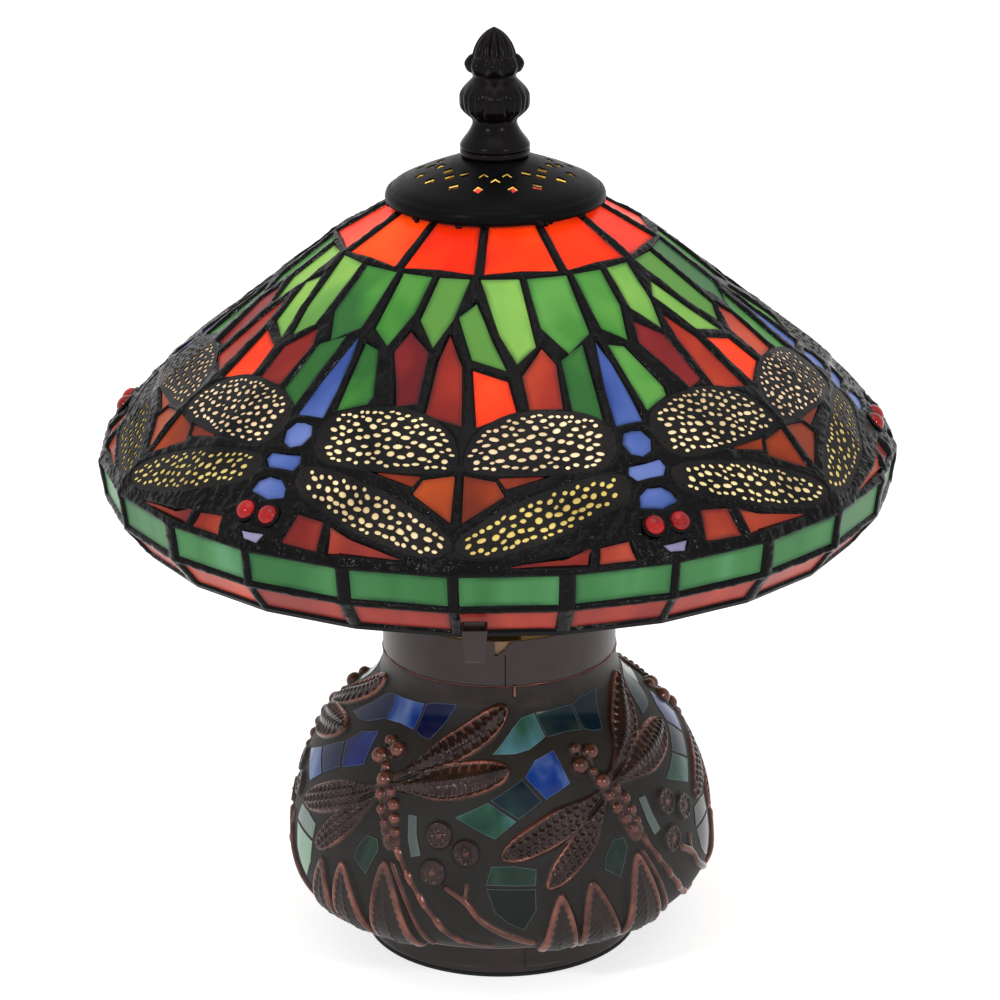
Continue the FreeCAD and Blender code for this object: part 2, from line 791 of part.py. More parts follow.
def switch_key():
    """The turn key of the switch, behind the socket: a round shaft and a flat blade."""
    tip = socket_radius + key_reach
    shaft = Part.makeCylinder(key_shaft_radius, tip, Vector(0, seat_gap, key_height), Vector(0, 1, 0))
    corner = Vector(-key_knob_radius, tip, key_height - key_blade_thickness / 2)
    blade = Part.makeBox(2 * key_knob_radius, key_knob_length, key_blade_thickness, corner)
    return shaft.fuse(blade)


def bulb_cap():
    """The bulb's screw cap, with the tip that meets the switch block's contact."""
    top = bulb_bottom + bulb_cap_height
    return revolved([
        (0, bulb_bottom),
        (bulb_tip_radius, bulb_bottom),
        (bulb_cap_radius, bulb_bottom + bulb_tip_height),
        (bulb_cap_radius, top),
        (0, top),
    ])


def bulb_glass():
    """The frosted envelope: a flared neck under a round top."""
    foot = bulb_bottom + bulb_cap_height
    outline = [(0, 0), (bulb_cap_radius, 0), (bulb_radius * 0.96, 0.46)]
    outline += [(bulb_radius, 0.66), (bulb_radius * 0.8, 0.88), (bulb_top_radius, 1), (0, 1)]
    return many_sided([(radius, foot + bulb_glass_height * share) for radius, share in outline], bulb_sides)


def flat_glass(group):
    """The flat pieces of one colour, each a little smaller than its opening."""
    outlines = flat_glass_outlines()[group]
    return around_shade([pane(outline, glass_thickness, glass_gap) for outline in outlines])


# ---- every piece of the lamp, by node ----


def lamp_nodes():
    nodes = {
        "felt_pad": disc(foot_radius - seat_gap, 0, felt_thickness),
        "foot_ring": foot_ring(),
        "base_plate": base_plate(),
        "base_casting": base_casting(),
        "cord_bushing": cord_bushing(),
        "neck_collar": neck_collar(),
        "neck_plate": neck_plate(),
        "lamp_pipe": lamp_pipe(),
        "pipe_nuts": pipe_nuts(),
        "harp_saddle": harp_saddle(),
        "harp": harp(),
        "harp_ferrule_left": harp_ferrule(-1),
        "harp_ferrule_right": harp_ferrule(1),
        "socket_cap": socket_cap(),
        "socket_shell": socket_shell(),
        "socket_body": socket_body(),
        "screw_shell": screw_shell(),
        "switch_key": switch_key(),
        "bulb_cap": bulb_cap(),
        "bulb_glass": bulb_glass(),
        "shade_lead": shade_lead(),
        "wing_glass": wing_glass(),
        "wing_filigree": wing_filigree(),
        "eye_jewels": eye_jewels(),
        "rim_strip": rim_strip(),
        "rim_clip": rim_clip(),
        "vent_cap": vent_cap(),
        "finial": finial(),
    }
    for group in tile_outlines():
        nodes[group] = tiles(group)
    for group in flat_glass_outlines():
        nodes[group] = flat_glass(group)
    return nodes


def export():
    os.makedirs("parts", exist_ok=True)
    for name, shape in lamp_nodes().items():
        whole = Part.makeCompound(shape) if isinstance(shape, list) else shape
        whole.exportStep(f"parts/{name}.step")


export()
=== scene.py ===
"""Stained glass table lamp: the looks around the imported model.

Places are worked out in millimetres, with angles in degrees from the front (-Y) towards +X,
and turned into metres when a mesh is made.
"""

import math
import random

import bmesh
import bpy
import numpy as np
from mathutils import Matrix, Vector
from mathutils.geometry import delaunay_2d_cdt


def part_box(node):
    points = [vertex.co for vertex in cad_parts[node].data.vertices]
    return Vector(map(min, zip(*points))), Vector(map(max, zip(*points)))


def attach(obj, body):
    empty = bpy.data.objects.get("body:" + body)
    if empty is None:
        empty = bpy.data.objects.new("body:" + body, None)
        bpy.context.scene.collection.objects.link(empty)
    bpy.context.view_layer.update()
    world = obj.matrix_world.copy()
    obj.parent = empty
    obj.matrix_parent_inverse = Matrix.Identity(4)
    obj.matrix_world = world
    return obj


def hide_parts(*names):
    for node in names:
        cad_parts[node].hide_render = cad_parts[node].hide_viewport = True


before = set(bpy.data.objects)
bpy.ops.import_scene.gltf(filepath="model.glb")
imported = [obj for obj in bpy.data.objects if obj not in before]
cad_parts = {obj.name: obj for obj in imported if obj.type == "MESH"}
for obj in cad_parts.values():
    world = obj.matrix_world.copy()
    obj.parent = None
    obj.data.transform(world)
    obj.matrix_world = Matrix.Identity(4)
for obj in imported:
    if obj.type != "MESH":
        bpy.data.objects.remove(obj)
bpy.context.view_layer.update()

MM = 0.001

# ---- sizes, as in the model ----
SHADE_SIDES = 24
DRAGONFLIES = 6
FIRST_DRAGONFLY = 24.0
SIDE_ANGLE = 360 / SHADE_SIDES
SHARE_ANGLE = 360 / DRAGONFLIES
# the shell's corners: radius, and how far below its top edge
SHELL_RADII = [30.0, 51.1, 106.1, 125.0, 127.0, 125.5, 118.4]
SHELL_DROPS = [0.0, 12.3, 55.4, 75.6, 79.9, 91.3, 100.5]
LEAD_THICKNESS = 4.0

BASE_DRAGONFLIES = 5
BASE_SHARE = 360 / BASE_DRAGONFLIES
FIRST_THORAX = 33.2

# ---- the shade's ornament ----
# the surface: how far up and down its lean is averaged, and the grid that the leads are drawn on
LEAN_REACH = 2.5
GRID_COLUMNS = 1560
GRID_STEP = 0.45
# panes: lift of the front, thickness, width of the painted shade along the edge, and reach under the leads
GLASS_LIFT = -0.7
GLASS_THICKNESS = 2.6
PAINTED_EDGE_SHADE = 1.9
PANE_TUCK = 0.55
# leads: where they start inside a pane, where they are full, their foot's depth, their back's height, and
# how far inside a pane their surface is kept
LEAD_FOOT = 0.6
LEAD_SHOULDER = 0.9
LEAD_SINK = 1.9
LEAD_RISE = 0.3
LEAD_KEPT = 0.35
# the solder's uneven back: (rows, columns, seed, size) of each random field
LUMPS = [(34, 190, 1, 0.22), (80, 420, 2, 0.12)]
WRINKLES = [(120, 700, 3, 0.3), (50, 300, 4, 0.3)]
# wing plates: holes, lift and dome of the plate, lift of the glass under it, and the plain plate at the root
HOLE_GAP = 0.3
HOLE_EDGE = 0.25
HOLE_TRIES = 7000
HOLE_CORNERS = 9
PLATE_LIFT = 0.05
PLATE_DOME = 0.3
GLOW_LIFT = -0.1
WING_TUCK = 0.8
ROOT_PLATE = 4.0
# eyes
EYE_ANGLE = 1.95
EYE_RING = 2.745
EYE_SIDES = 28
JEWEL_RADIUS = 3.15
JEWEL_HEIGHT = 2.5
BEZEL_RADIUS = 0.6
# Outlines in one dragonfly's share: (angle from the dragonfly's axis, ring of the shell).
CROWN_GLASS = [[(2.3, 0.12), (27.7, 0.12), (28.2, 0.955), (1.8, 0.955)]]
RAY_GLASS = {
    "glass_leaf_green": [
        [(3, 1.01), (14, 1.01), (12.8, 1.21), (9, 1.395), (3.6, 1.315)],
        [(-13.8, 1.01), (0.4, 1.01), (-0.2, 1.325), (-7, 1.42), (-12.4, 1.275)],
        [(3.2, 1.395), (7.2, 1.42), (10.9, 1.655), (10.4, 1.7), (4.8, 1.755)],
        [(-3.0, 1.375), (-4.5, 1.775), (-9.7, 1.71), (-9.3, 1.45)],
    ],
    "glass_spring_green": [
        [(16.7, 1.01), (27.3, 1.01), (24.3, 1.225), (20.5, 1.38), (15.2, 1.24)],
        [(30.3, 1.13), (34.8, 1.33), (38, 1.49), (30.2, 1.43), (25.7, 1.215)],
        [(-29.3, 1.01), (-16.2, 1.01), (-14.6, 1.37), (-19.5, 1.458), (-23.3, 1.305)],
    ],
    "glass_dark_red": [
        [(13.7, 1.3), (19.9, 1.405), (20.5, 1.67), (16.3, 1.69), (11.6, 1.42)],
    ],
    "glass_scarlet": [
        [(24.2, 1.31), (28.3, 1.47), (29.6, 1.77), (22.4, 1.73), (22.6, 1.45)],
        [(-13.3, 1.375), (-10.7, 1.47), (-11.4, 1.695), (-17.8, 1.71), (-18.6, 1.52)],
    ],
    "glass_orange": [
        [(-29.3, 1.485), (-21.7, 1.545), (-20.4, 1.7), (-27.8, 1.775)],
    ],
}
BODY_GLASS = [
    [(0.4, 1.365), (1.9, 1.49), (2.7, 1.66), (2.9, 1.8), (-2.5, 1.81), (-1.9, 1.62)],
    [(-2.6, 1.9), (-1.7, 1.848), (0, 1.835), (1.7, 1.848), (2.6, 1.9), (1.9, 1.95), (0, 1.97),
     (-1.8, 1.955)],
    [(-2.9, 2.04), (2.7, 2.0), (3.2, 2.1), (2.4, 2.19), (-2.2, 2.21), (-3.3, 2.13)],
    [(-2.6, 2.39), (-1.1, 2.3), (1.2, 2.31), (2.5, 2.4), (2.9, 2.51), (0.3, 2.56), (-3.0, 2.52)],
]
TAIL_LIGHT = [(-1.5, 2.97), (2.4, 2.95), (1.5, 3.4), (-0.6, 3.3)]
SEAM_GLASS = [
    [(24.3, 2.11), (29.3, 2.035), (29.2, 2.58), (23.0, 2.28)],
    [(16, 2.055), (24, 2.07), (22.8, 2.2)],
]
LOW_GLASS = [
    [(6.2, 2.66), (10.6, 2.7), (10.9, 3.25), (5.2, 3.1)],
    [(12.2, 2.76), (15.8, 2.84), (22.8, 3.2), (12.4, 3.3)],
    [(-6.0, 2.88), (-5.4, 3.6), (-10.6, 3.6), (-10.2, 2.92)],
    [(-11.8, 2.94), (-12.0, 3.6), (-22.6, 3.5), (-16.6, 3.0)],
]
GREEN_BORDER = (4.05, 4.88)
RED_BORDER = (5.12, 5.95)
BORDER_LEADS = [0.65, 1.0, 0.75, 1.1]
UPPER_WING = [
    (4.0, 1.9), (5.0, 1.79), (9.5, 1.73), (16.5, 1.705), (23, 1.74), (27.6, 1.82), (29.2, 1.93),
    (27.8, 2.0), (22, 2.03), (14, 2.03), (7, 2.01),
]
LOWER_WING = [
    (4.0, 2.24), (5.2, 2.13), (11, 2.15), (17.5, 2.27), (24, 2.49), (28.4, 2.71), (29.4, 2.86),
    (27.5, 2.97), (23.5, 2.94), (17.5, 2.8), (11, 2.6), (5.4, 2.42),
]

# ---- cap, finial, neck and clip ----
# the cap's dome and rolled rim: (radius, height over the crown)
CAP_BORE = 3.4
CAP_DOME = [
    (CAP_BORE, 0), (9, -0.1), (12, -0.7), (16, -2.2), (22, -4.4), (28, -6.9), (31.6, -8.7), (33.4, -10.6),
]
CAP_ROLL = [
    (33.0, -9.9), (34.0, -10.7), (34.5, -11.9), (34.6, -13.0), (34.3, -13.9), (33.6, -14.1), (32.8, -13.2),
    (32.4, -11.4),
]
VENT_GROUPS = 8
VENT_PLACES = [(-3.6, 17), (3.6, 17), (0, 19.9), (-5.3, 23.4), (5.3, 23.4)]
VENT_HALF = 1.95
# drops of solder under the cap's rim: (angle, radius)
CAP_SOLDER = [
    (-48, 1.2), (-21, 1.0), (-6, 0.9), (22, 1.7), (29, 1.3), (52, 1.0), (88, 1.2), (131, 1.5), (170, 1.0),
    (204, 1.4), (239, 1.1), (276, 1.3),
]
# the finial's profile, and the heights between which each ornament stands
FINIAL_HEIGHTS = [
    0, 0.5, 1.9, 2.2, 2.5, 3.6, 5.1, 7.4, 9.8, 11.6, 13, 14.9, 17.2, 19.5, 21.8, 24.4, 26, 27.4, 28.8, 30,
    30.9, 32.5, 34.9, 37.2, 39, 40.2,
]
FINIAL_RADII = [
    10.5, 10.9, 10.9, 10.5, 10.9, 10.9, 10, 8.3, 7.1, 7.2, 8.8, 10.6, 10.95, 10.8, 9.4, 6.9, 7.1, 7.4, 7.6,
    7.3, 6.9, 6.6, 5.7, 4.2, 2.3, 0.1,
]
FINIAL_WIDEST = 10.95
FINIAL_SIDES = 144
FINIAL_ROWS = 131
PETALS = (11.0, 22.5)
LEAF_TIPS = (26.0, 31.6)
ACORN_RIBS = (29.5, 39.6)
# the collar's seam and notch: distances round it from the front
NECK_SEAM = 1.8
SEAM_HALF = 0.16
NOTCH_HALF = 1.6
NOTCH_RIGHT = 4.2
NOTCH_DEPTH = 4.8
COLLAR_WALL = 1.05
# how far down the collar's inside is painted as lit
LINING_DEPTH = 5.0
DRIP_LENGTH = 4.0
CLIP_LENGTH = 10.2
CLIP_SLANT = 1.6
CLIP_SIDES = 24

# ---- the base's ornament, in one dragonfly's share: (angle from its thorax, distance down) ----
# the casting's outside: (radius, height)
BASE_PROFILE = [
    (38.2, 98.4), (38.7, 93), (42.8, 86), (51.8, 78), (59.4, 69), (64.2, 59), (67.5, 48), (69.2, 37),
    (69.3, 30), (68.2, 25.2), (65.4, 21.4), (61.6, 19.2), (57.5, 17.9), (52, 16.4), (45.2, 14),
]
BORE_WALL = 6
RELIEF_ANGLE_STEP = 1 / 4
RELIEF_STEP = 0.33
CELL_WIDTH = 2.5
CELL_LENGTH = 2.7
BRICK_LENGTH = 2.8
LEAF_FOOT = 91
LIP_ALONG = 92.6
BERRY_RADIUS = 4.2
# how far the neck band is made glossy, and lighter in colour as a painted sheen
NECK_GLOSS_AND_PAINTED_SHEEN = 0.45
# beads of the thorax: (angle, distance down, radius)
BEADS = [
    (-5.8, 29.2, 3.0), (0, 25.6, 2.9), (-5.0, 23.4, 2.2), (-1.6, 32, 1.6), (0, 35.9, 2.8), (3.8, 39, 1.9),
    (0.6, 40.6, 2.2), (5.9, 42.8, 2.2), (2.3, 45, 2.2), (7.0, 46.9, 2.1), (4.4, 48.9, 2.1), (8.0, 51, 1.9),
    (6.1, 52.8, 1.9),
]
# ribs and stems: (line, radius, height)
BODY_RIBS = [
    ([(-2.6, 26), (-2, 31), (0, 36)], 1.8, 0.9),
    ([(0.5, 36), (3, 42), (5, 48), (7.2, 54)], 3.4, 1.3),
    ([(8.4, 54), (13.4, 64.4), (22, 78.3), (28, 84.5), (36, 87)], 1.0, 0.8),
]
# wings: (root, tip, width, banded)
CAST_WINGS = [
    ((-1.0, 38.6), (-33.4, 55.6), 10.6, False),
    ((-0.5, 41.5), (-21, 66), 9.4, False),
    ((3, 34.6), (41.8, 6), 11, True),
    ((3, 37.4), (42, 27.6), 12.6, True),
]
# long beads of the tail: (angle, distance down, half length, half width, lean)
TAIL_BEADS = [
    (9.7, 57.3, 3.4, 1.5, 64), (13.4, 64.4, 3.4, 1.45, 62), (17.4, 71.3, 3.8, 1.4, 58),
    (22, 78.3, 3.7, 1.4, 54), (27, 83.6, 3.2, 1.3, 40),
]
# berries: (angle, distance down)
BERRIES = [(21.3, 49.4), (29.2, 54.3), (20.3, 61.4)]
# leaves: (tip, angle of the left edge, angle of the right edge)
LEAVES = [((-17.5, 68), -23.5, -11), ((-8.6, 65.5), -12, 3), ((6, 60.3), 1.2, 16.5)]
STEMS = [
    ([(8.3, 61), (13, 72), (16, 80), (19.5, 88)], 1.0, 1.1),
    ([(24.3, 66), (29.3, 70), (33, 75.5), (39.3, 80.6), (47, 85)], 1.3, 1.4),
    ([(29.6, 70.5), (29.3, 67.5), (29.6, 64.5)], 0.8, 0.9),
]
# tiles: millimetres to a degree in their flat frame, lift over the casting, depth in it, and outlines
TILE_SCALE = 1.1
TILE_LIFT = 0.2
TILE_SEAT = 0.5
UPPER_BAND = [
    [(-36, 22.4), (-28, 13.4), (-24, 10.2), (-17.6, 8.9), (-14.8, 17.2), (-22.5, 21.2), (-28, 22.4)],
    [(-16.9, 8.9), (1.6, 8.2), (1.6, 17.4), (-6, 16.7), (-14, 17.4)],
    [(2.5, 8.2), (7, 7), (18.5, 6.4), (10.5, 19.4), (6.5, 19), (2.6, 17.4)],
]
LOWER_BAND = [
    [(-46.5, 43.4), (-37, 38.2), (-28.8, 44.2), (-35, 49.6)],
    [(-36.2, 37.6), (-26.2, 31), (-20.8, 38.4), (-28, 43.6)],
    [(-25.2, 30.4), (-21, 25), (-13.4, 22.3), (-10.8, 34), (-19.4, 38)],
]
SLIVER_TILE = [(11.3, 44.6), (13.8, 44.6), (14.6, 50.4), (16.4, 56.6), (13.8, 57.6), (12.2, 52)]
MOSS_TILE = [(-1, 54.4), (2.6, 54.6), (3.4, 58), (0, 67), (-4.6, 63), (-3.8, 59)]
LOW_TILES = [
    [(34.6, 64.2), (36.2, 58.2), (42.4, 58.2), (48.2, 59.6), (47.8, 64.8)],
    [(34.8, 65.4), (47.8, 65.9), (47.8, 73), (44.6, 79.6), (40.5, 77), (37, 73)],
]
SHARE_TILES = [*UPPER_BAND, *LOWER_BAND, SLIVER_TILE, MOSS_TILE, *LOW_TILES]

# ---- light and camera ----
WORLD_LIGHT = 0.55
# the bulb's light and height, and the glow painted on the glass for the bulb's light behind it: how far it
# reaches, and how much more it is inside
BULB_POWER = 0.15
BULB_COLOUR = (1.0, 0.78, 0.48)
BULB_SOFTNESS = 0.02
BULB_CENTRE = 190.0
BULB_REACH = 88.0
INNER_GLOW = 3.0
# the floor: size and gap under the felt in metres, and the light it adds for the rays that show the backdrop
FLOOR_SIZE = 8
FLOOR_GAP = 0.0002
FLOOR_LIFT = 0.62
# soft lights: (name, place, size, power), all aimed at one place
SOFT_LIGHTS = [
    ("key", (-0.85, -1.15, 1.0), (0.1, 0.14), 5.4),
    ("fill", (0.85, -1.15, 0.9), (0.1, 0.14), 4.0),
    ("top", (0, -0.3, 1.5), (1.0, 1.0), 4),
]
LIGHT_AIM = (0, 0, 0.15)
# the camera: place in metres, angles below level and of roll, focal length, film width and shift
CAMERA_PLACE = (0, -1.033, 0.511)
CAMERA_TILT = 19.42
CAMERA_ROLL = -0.5
CAMERA_LENS = 122.3
CAMERA_FILM = 36
CAMERA_SHIFT = (0.00185, 0.0035)


def node_box(node):
    """The lowest and highest corner of a CAD node, in millimetres."""
    low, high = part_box(node)
    return low / MM, high / MM


shade_top = node_box("shade_lead")[1].z
cap_low, cap_high = node_box("vent_cap")
casting_low, casting_high = node_box("base_casting")
foot_low, foot_high = node_box("foot_ring")
collar_low, collar_high = node_box("neck_collar")
finial_high = node_box("finial")[1]


# ---- mesh helpers ----


def round_point(angle, radius, height):
    """A point round the axis."""
    turn = math.radians(angle)
    return Vector((radius * math.sin(turn), -radius * math.cos(turn), height))


def add_piece(name, mesh, body, slot, material, replaced=()):
    """Links a mesh as a piece that rides on a body."""
    piece = bpy.data.objects.new(name, mesh)
    bpy.context.scene.collection.objects.link(piece)
    mesh.materials.append(material)
    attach(piece, body)
    if replaced:
        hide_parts(*replaced)
    return piece


def mesh_from(name, points, faces, sharp_angle=40.0):
    """A smooth mesh from points in millimetres, with edges kept sharp past an angle."""
    mesh = bpy.data.meshes.new(name)
    mesh.from_pydata([tuple(c * MM for c in point) for point in points], [], faces)
    mesh.update()
    mesh.shade_smooth()
    mesh.set_sharp_from_angle(angle=math.radians(sharp_angle))
    return mesh


def join_parts(parts):
    """One list of points and faces from many."""
    points, faces = [], []
    for part_points, part_faces in parts:
        start = len(points)
        points += part_points
        faces += [tuple(start + index for index in face) for face in part_faces]
    return points, faces


def build_piece(name, parts, body, slot, material, replaced=(), sharp_angle=40.0):
    """A piece made of parts, each of them points and faces."""
    mesh = mesh_from(name, *join_parts(parts), sharp_angle)
    return add_piece(name, mesh, body, slot, material, replaced)


def mark(mesh, name, values):
    """Gives each point of a mesh a value that its material can read."""
    mesh.attributes.new(name, "FLOAT", "POINT").data.foreach_set("value", values)


def catmull(before, start, end, after, share):
    """A point on the smooth curve through four points, between the middle two."""
    square, cube = share * share, share ** 3
    return [
        0.5 * (
            2 * b + (c - a) * share + (2 * a - 5 * b + 4 * c - d) * square + (3 * b - a - 3 * c + d) * cube
        )
        for a, b, c, d in zip(before, start, end, after)
    ]


def smooth_line(points, steps, closed=False):
    """A smooth line through the points, each span divided into steps."""
    last = len(points) - 1
    line = []
    for k in range(last + 1 if closed else last):
        near = [k - 1, k, k + 1, k + 2]
        near = [n % (last + 1) if closed else max(0, min(last, n)) for n in near]
        line += [catmull(*(points[n] for n in near), step / steps) for step in range(steps)]
    return line if closed else line + [list(points[last])]


def ring_mesh(rows):
    """Points and faces of a grid whose rows are closed rings of points."""
    count = len(rows[0])
    points = [point for row in rows for point in row]
    faces = []
    for start in range(0, len(points) - count, count):
        for column in range(count):
            beside = (column + 1) % count
            below = start + count
            faces.append((start + column, below + column, below + beside, start + beside))
    return points, faces


def revolve(profile, segments):
    """Points and faces of a profile of (radius, height) turned about the axis, from the top down."""
    angles = [360 * k / segments for k in range(segments)]
    return ring_mesh([[round_point(angle, radius, height) for angle in angles] for radius, height in profile])


def tube_along(line, radii, sides, closed):
    """Points and faces of a round tube along a line of points."""
    line = [Vector(point) for point in line]
    count = len(line)
    rows = []
    for k, point in enumerate(line):
        ahead = line[(k + 1) % count] if closed or k < count - 1 else point
        behind = line[k - 1] if closed or k > 0 else point
        along = (ahead - behind).normalized()
        out = Vector((point.x, point.y, 0)).normalized()
        side = along.cross(out).normalized()
        out = side.cross(along).normalized()
        turns = [math.tau * n / sides for n in range(sides)]
        rows.append([point + (side * math.cos(turn) + out * math.sin(turn)) * radii[k] for turn in turns])
    if closed:
        rows.append(rows[0])
    points, faces = ring_mesh(rows)
    if not closed:
        faces.append(tuple(range(sides)))
        faces.append(tuple(reversed(range((count - 1) * sides, count * sides))))
    return points, faces


def blob(centre, radius):
    """A small ball of solder."""
    mesh = bmesh.new()
    bmesh.ops.create_icosphere(mesh, subdivisions=2, radius=radius)
    points = [centre + vertex.co for vertex in mesh.verts]
    faces = [tuple(vertex.index for vertex in face.verts) for face in mesh.faces]
    mesh.free()
    return points, faces


# ---- node helpers ----


class Shader:
    """A material with its principled shader and short ways to add nodes."""

    def __init__(self, name, roughness=0.5, metallic=0.0):
        self.material = bpy.data.materials.new(name)
        self.material.use_nodes = True
        self.tree = self.material.node_tree
        self.surface = self.tree.nodes["Principled BSDF"]
        self.set("Roughness", roughness)
        self.set("Metallic", metallic)
        self.place = self.add("ShaderNodeTexCoord").outputs["Object"]

    def add(self, kind, **settings):
        """A new node."""
        node = self.tree.nodes.new(kind)
        for key, value in settings.items():
            setattr(node, key, value)
        return node

    def give(self, socket, value):
        """Links a socket to a node's output, or sets its value; a colour gets its alpha."""
        if isinstance(value, bpy.types.NodeSocket):
            self.tree.links.new(value, socket)
        elif isinstance(value, tuple):
            socket.default_value = (*value, 1)[:len(socket.default_value)]
        else:
            socket.default_value = value

    def set(self, socket, value):
        """Sets or links an input of the surface."""
        self.give(self.surface.inputs[socket], value)

    def noise(self, scale, detail=3.0, roughness=0.5, distortion=0.0, stretch=None):
        """A noise over the piece, which may be stretched along an axis."""
        node = self.add("ShaderNodeTexNoise")
        place = self.place
        if stretch:
            mapping = self.add("ShaderNodeMapping")
            self.give(mapping.inputs["Scale"], stretch)
            self.give(mapping.inputs["Vector"], place)
            place = mapping.outputs["Vector"]
        sockets = [node.inputs[name] for name in ("Vector", "Scale", "Detail", "Roughness", "Distortion")]
        return self.fill(node, sockets, (place, scale, detail, roughness, distortion), "Fac")

    def ramp(self, value, stops):
        """A colour ramp over (position, colour) stops, where a number stands for a grey."""
        node = self.add("ShaderNodeValToRGB")
        elements = node.color_ramp.elements
        while len(elements) < len(stops):
            elements.new(0.5)
        for element, (position, colour) in zip(elements, stops):
            element.position = position
            element.color = (*colour, 1) if isinstance(colour, tuple) else (colour, colour, colour, 1)
        self.give(node.inputs["Fac"], value)
        return node.outputs["Color"]

    def fill(self, node, sockets, values, output):
        """Gives a node its values, and returns one of its outputs."""
        for socket, value in zip(sockets, values):
            self.give(socket, value)
        return node.outputs[output]

    def math(self, operation, *values):
        node = self.add("ShaderNodeMath", operation=operation)
        return self.fill(node, node.inputs, values, "Value")

    def vector_math(self, operation, first, second, output="Value"):
        node = self.add("ShaderNodeVectorMath", operation=operation)
        return self.fill(node, node.inputs, (first, second), output)

    def mix(self, share, first, second, blend="MIX"):
        """A mix of two colours, whose sockets are the node's 6th and 7th."""
        node = self.add("ShaderNodeMix", data_type="RGBA", blend_type=blend)
        return self.fill(node, (node.inputs[0], node.inputs[6], node.inputs[7]), (share, first, second), 2)

    def attribute(self, name):
        return self.add("ShaderNodeAttribute", attribute_name=name).outputs["Fac"]

    def geometry(self, output):
        return self.add("ShaderNodeNewGeometry").outputs[output]

    def bump(self, value, strength, distance_mm, normal=None):
        """Bumps of a depth in millimetres, over those of another bump where one is given."""
        node = self.add("ShaderNodeBump")
        settings = {"Strength": strength, "Distance": distance_mm * MM, "Height": value}
        if normal:
            settings["Normal"] = normal
        for socket, setting in settings.items():
            self.give(node.inputs[socket], setting)
        self.set("Normal", node.outputs["Normal"])
        return node.outputs["Normal"]

    def shine(self, colour, strength):
        """Lets the surface shine by itself in its own colour."""
        self.set("Base Color", colour)
        self.set("Emission Color", colour)
        self.set("Emission Strength", strength)

    def near_bulb(self, glow):
        """A painted glow for the bulb's light through the glass, that falls off with the distance from the
        bulb, and is stronger on the faces toward it.
        """
        bulb_place = (0, 0, BULB_CENTRE * MM)
        distance = self.vector_math("DISTANCE", self.place, bulb_place)
        share = self.math("POWER", self.math("DIVIDE", BULB_REACH * MM, distance), 1.2)
        toward = self.vector_math("SUBTRACT", bulb_place, self.place, "Vector")
        facing = self.vector_math("DOT_PRODUCT", toward, self.geometry("Normal"))
        inner = self.math("MULTIPLY_ADD", self.math("GREATER_THAN", facing, 0.0), INNER_GLOW, 1.0)
        return self.math("MULTIPLY", self.math("MULTIPLY", share, inner), glow)


def srgb(red, green, blue):
    """A linear colour from display values of 0 to 255."""
    display = (red / 255, green / 255, blue / 255)
    return tuple(c / 12.92 if c <= 0.04045 else ((c + 0.055) / 1.055) ** 2.4 for c in display)


# ---- materials ----


def grained(name, grain, stops, glow=0.0, bump=None, specular=0.5, **surface):
    """A material whose colour runs through (position, colour) stops over a noise, with one fine bump.

    bump is (noise, strength, depth in millimetres).
    """
    shader = Shader(name, **surface)
    colour = shader.ramp(shader.noise(*grain), stops)
    if glow:
        shader.shine(colour, glow)
    else:
        shader.set("Base Color", colour)
    shader.set("Specular IOR Level", specular)
    if bump:
        noise, strength, depth = bump
        shader.bump(shader.noise(*noise), strength, depth)
    return shader


def art_glass(name, shades, glow):
    """Streaky opalescent glass, with a painted glow for the bulb's light behind it, and darker along its
    leads as painted shade.
    """
    shader = Shader(name, roughness=0.3)
    swirl = shader.noise(42.0, 2.0, 0.45, 0.5, (1, 1, 0.25))
    island = shader.geometry("Random Per Island")
    part = shader.math("ADD", shader.math("MULTIPLY", swirl, 0.75), shader.math("MULTIPLY", island, 0.3))
    colour = shader.ramp(part, shades)
    # painted shade: the glass is darkened near its leads, where they would shade it
    uneven = shader.ramp(shader.noise(70, 2.0, 0.5), [(0.35, 0.25), (0.65, 1)])
    painted_fringe_shade = shader.math("MULTIPLY", shader.math("POWER", shader.attribute("edge"), 1.4), uneven)
    colour_with_painted_fringe = shader.mix(painted_fringe_shade, colour, shader.mix(0.75, colour, (0, 0.008, 0.01)))
    shader.shine(colour_with_painted_fringe, shader.near_bulb(glow))
    shader.set("Specular IOR Level", 0.1)
    shader.bump(shader.noise(130, 2.0, 0.5), 0.2, 0.15)
    return shader.material


def glass_shades(*colours):
    """Ramp stops spread over the middle of the noise's range."""
    first, last = 0.36, 0.7
    step = (last - first) / (len(colours) - 1)
    return [(first + step * k, srgb(*colour)) for k, colour in enumerate(colours)]


def lead_material():
    """Blackened solder: dark, half glossy and finely wrinkled."""
    stops = [(0.35, srgb(7, 6, 7)), (0.75, srgb(16, 15, 17))]
    shader = grained("black_solder", (60, 4.0, 0.6), stops, specular=0.08)
    shader.set("Roughness", shader.ramp(shader.noise(130, 3.0, 0.6), [(0.38, 0.09), (0.66, 0.3)]))
    wrinkles = shader.bump(shader.noise(300, 3.0, 0.55, 0.8), 0.6, 0.8)
    shader.bump(shader.noise(1500, 3.0, 0.6), 0.25, 0.12, wrinkles)
    return shader.material


def plate_material():
    """The wings' thin dark plate, with fine pits painted on as small dark spots of shade."""
    shader = Shader("wing_plate_metal", roughness=0.36)
    tone = shader.ramp(shader.noise(30, 3.0, 0.6), [(0.35, srgb(12, 12, 17)), (0.7, srgb(44, 40, 36))])
    # painted shade: the fine pits are darker spots of colour, with no hollow under them
    cells = shader.add("ShaderNodeTexVoronoi")
    shader.give(cells.inputs["Scale"], 620)
    shader.give(cells.inputs["Vector"], shader.place)
    pits = shader.ramp(cells.outputs["Distance"], [(0.16, 0.1), (0.26, 1)])
    shader.set("Base Color", shader.mix(1.0, tone, pits, "MULTIPLY"))
    shader.set("Specular IOR Level", 0.08)
    shader.bump(shader.noise(900, 3.0, 0.6), 0.25, 0.12)
    return shader.material


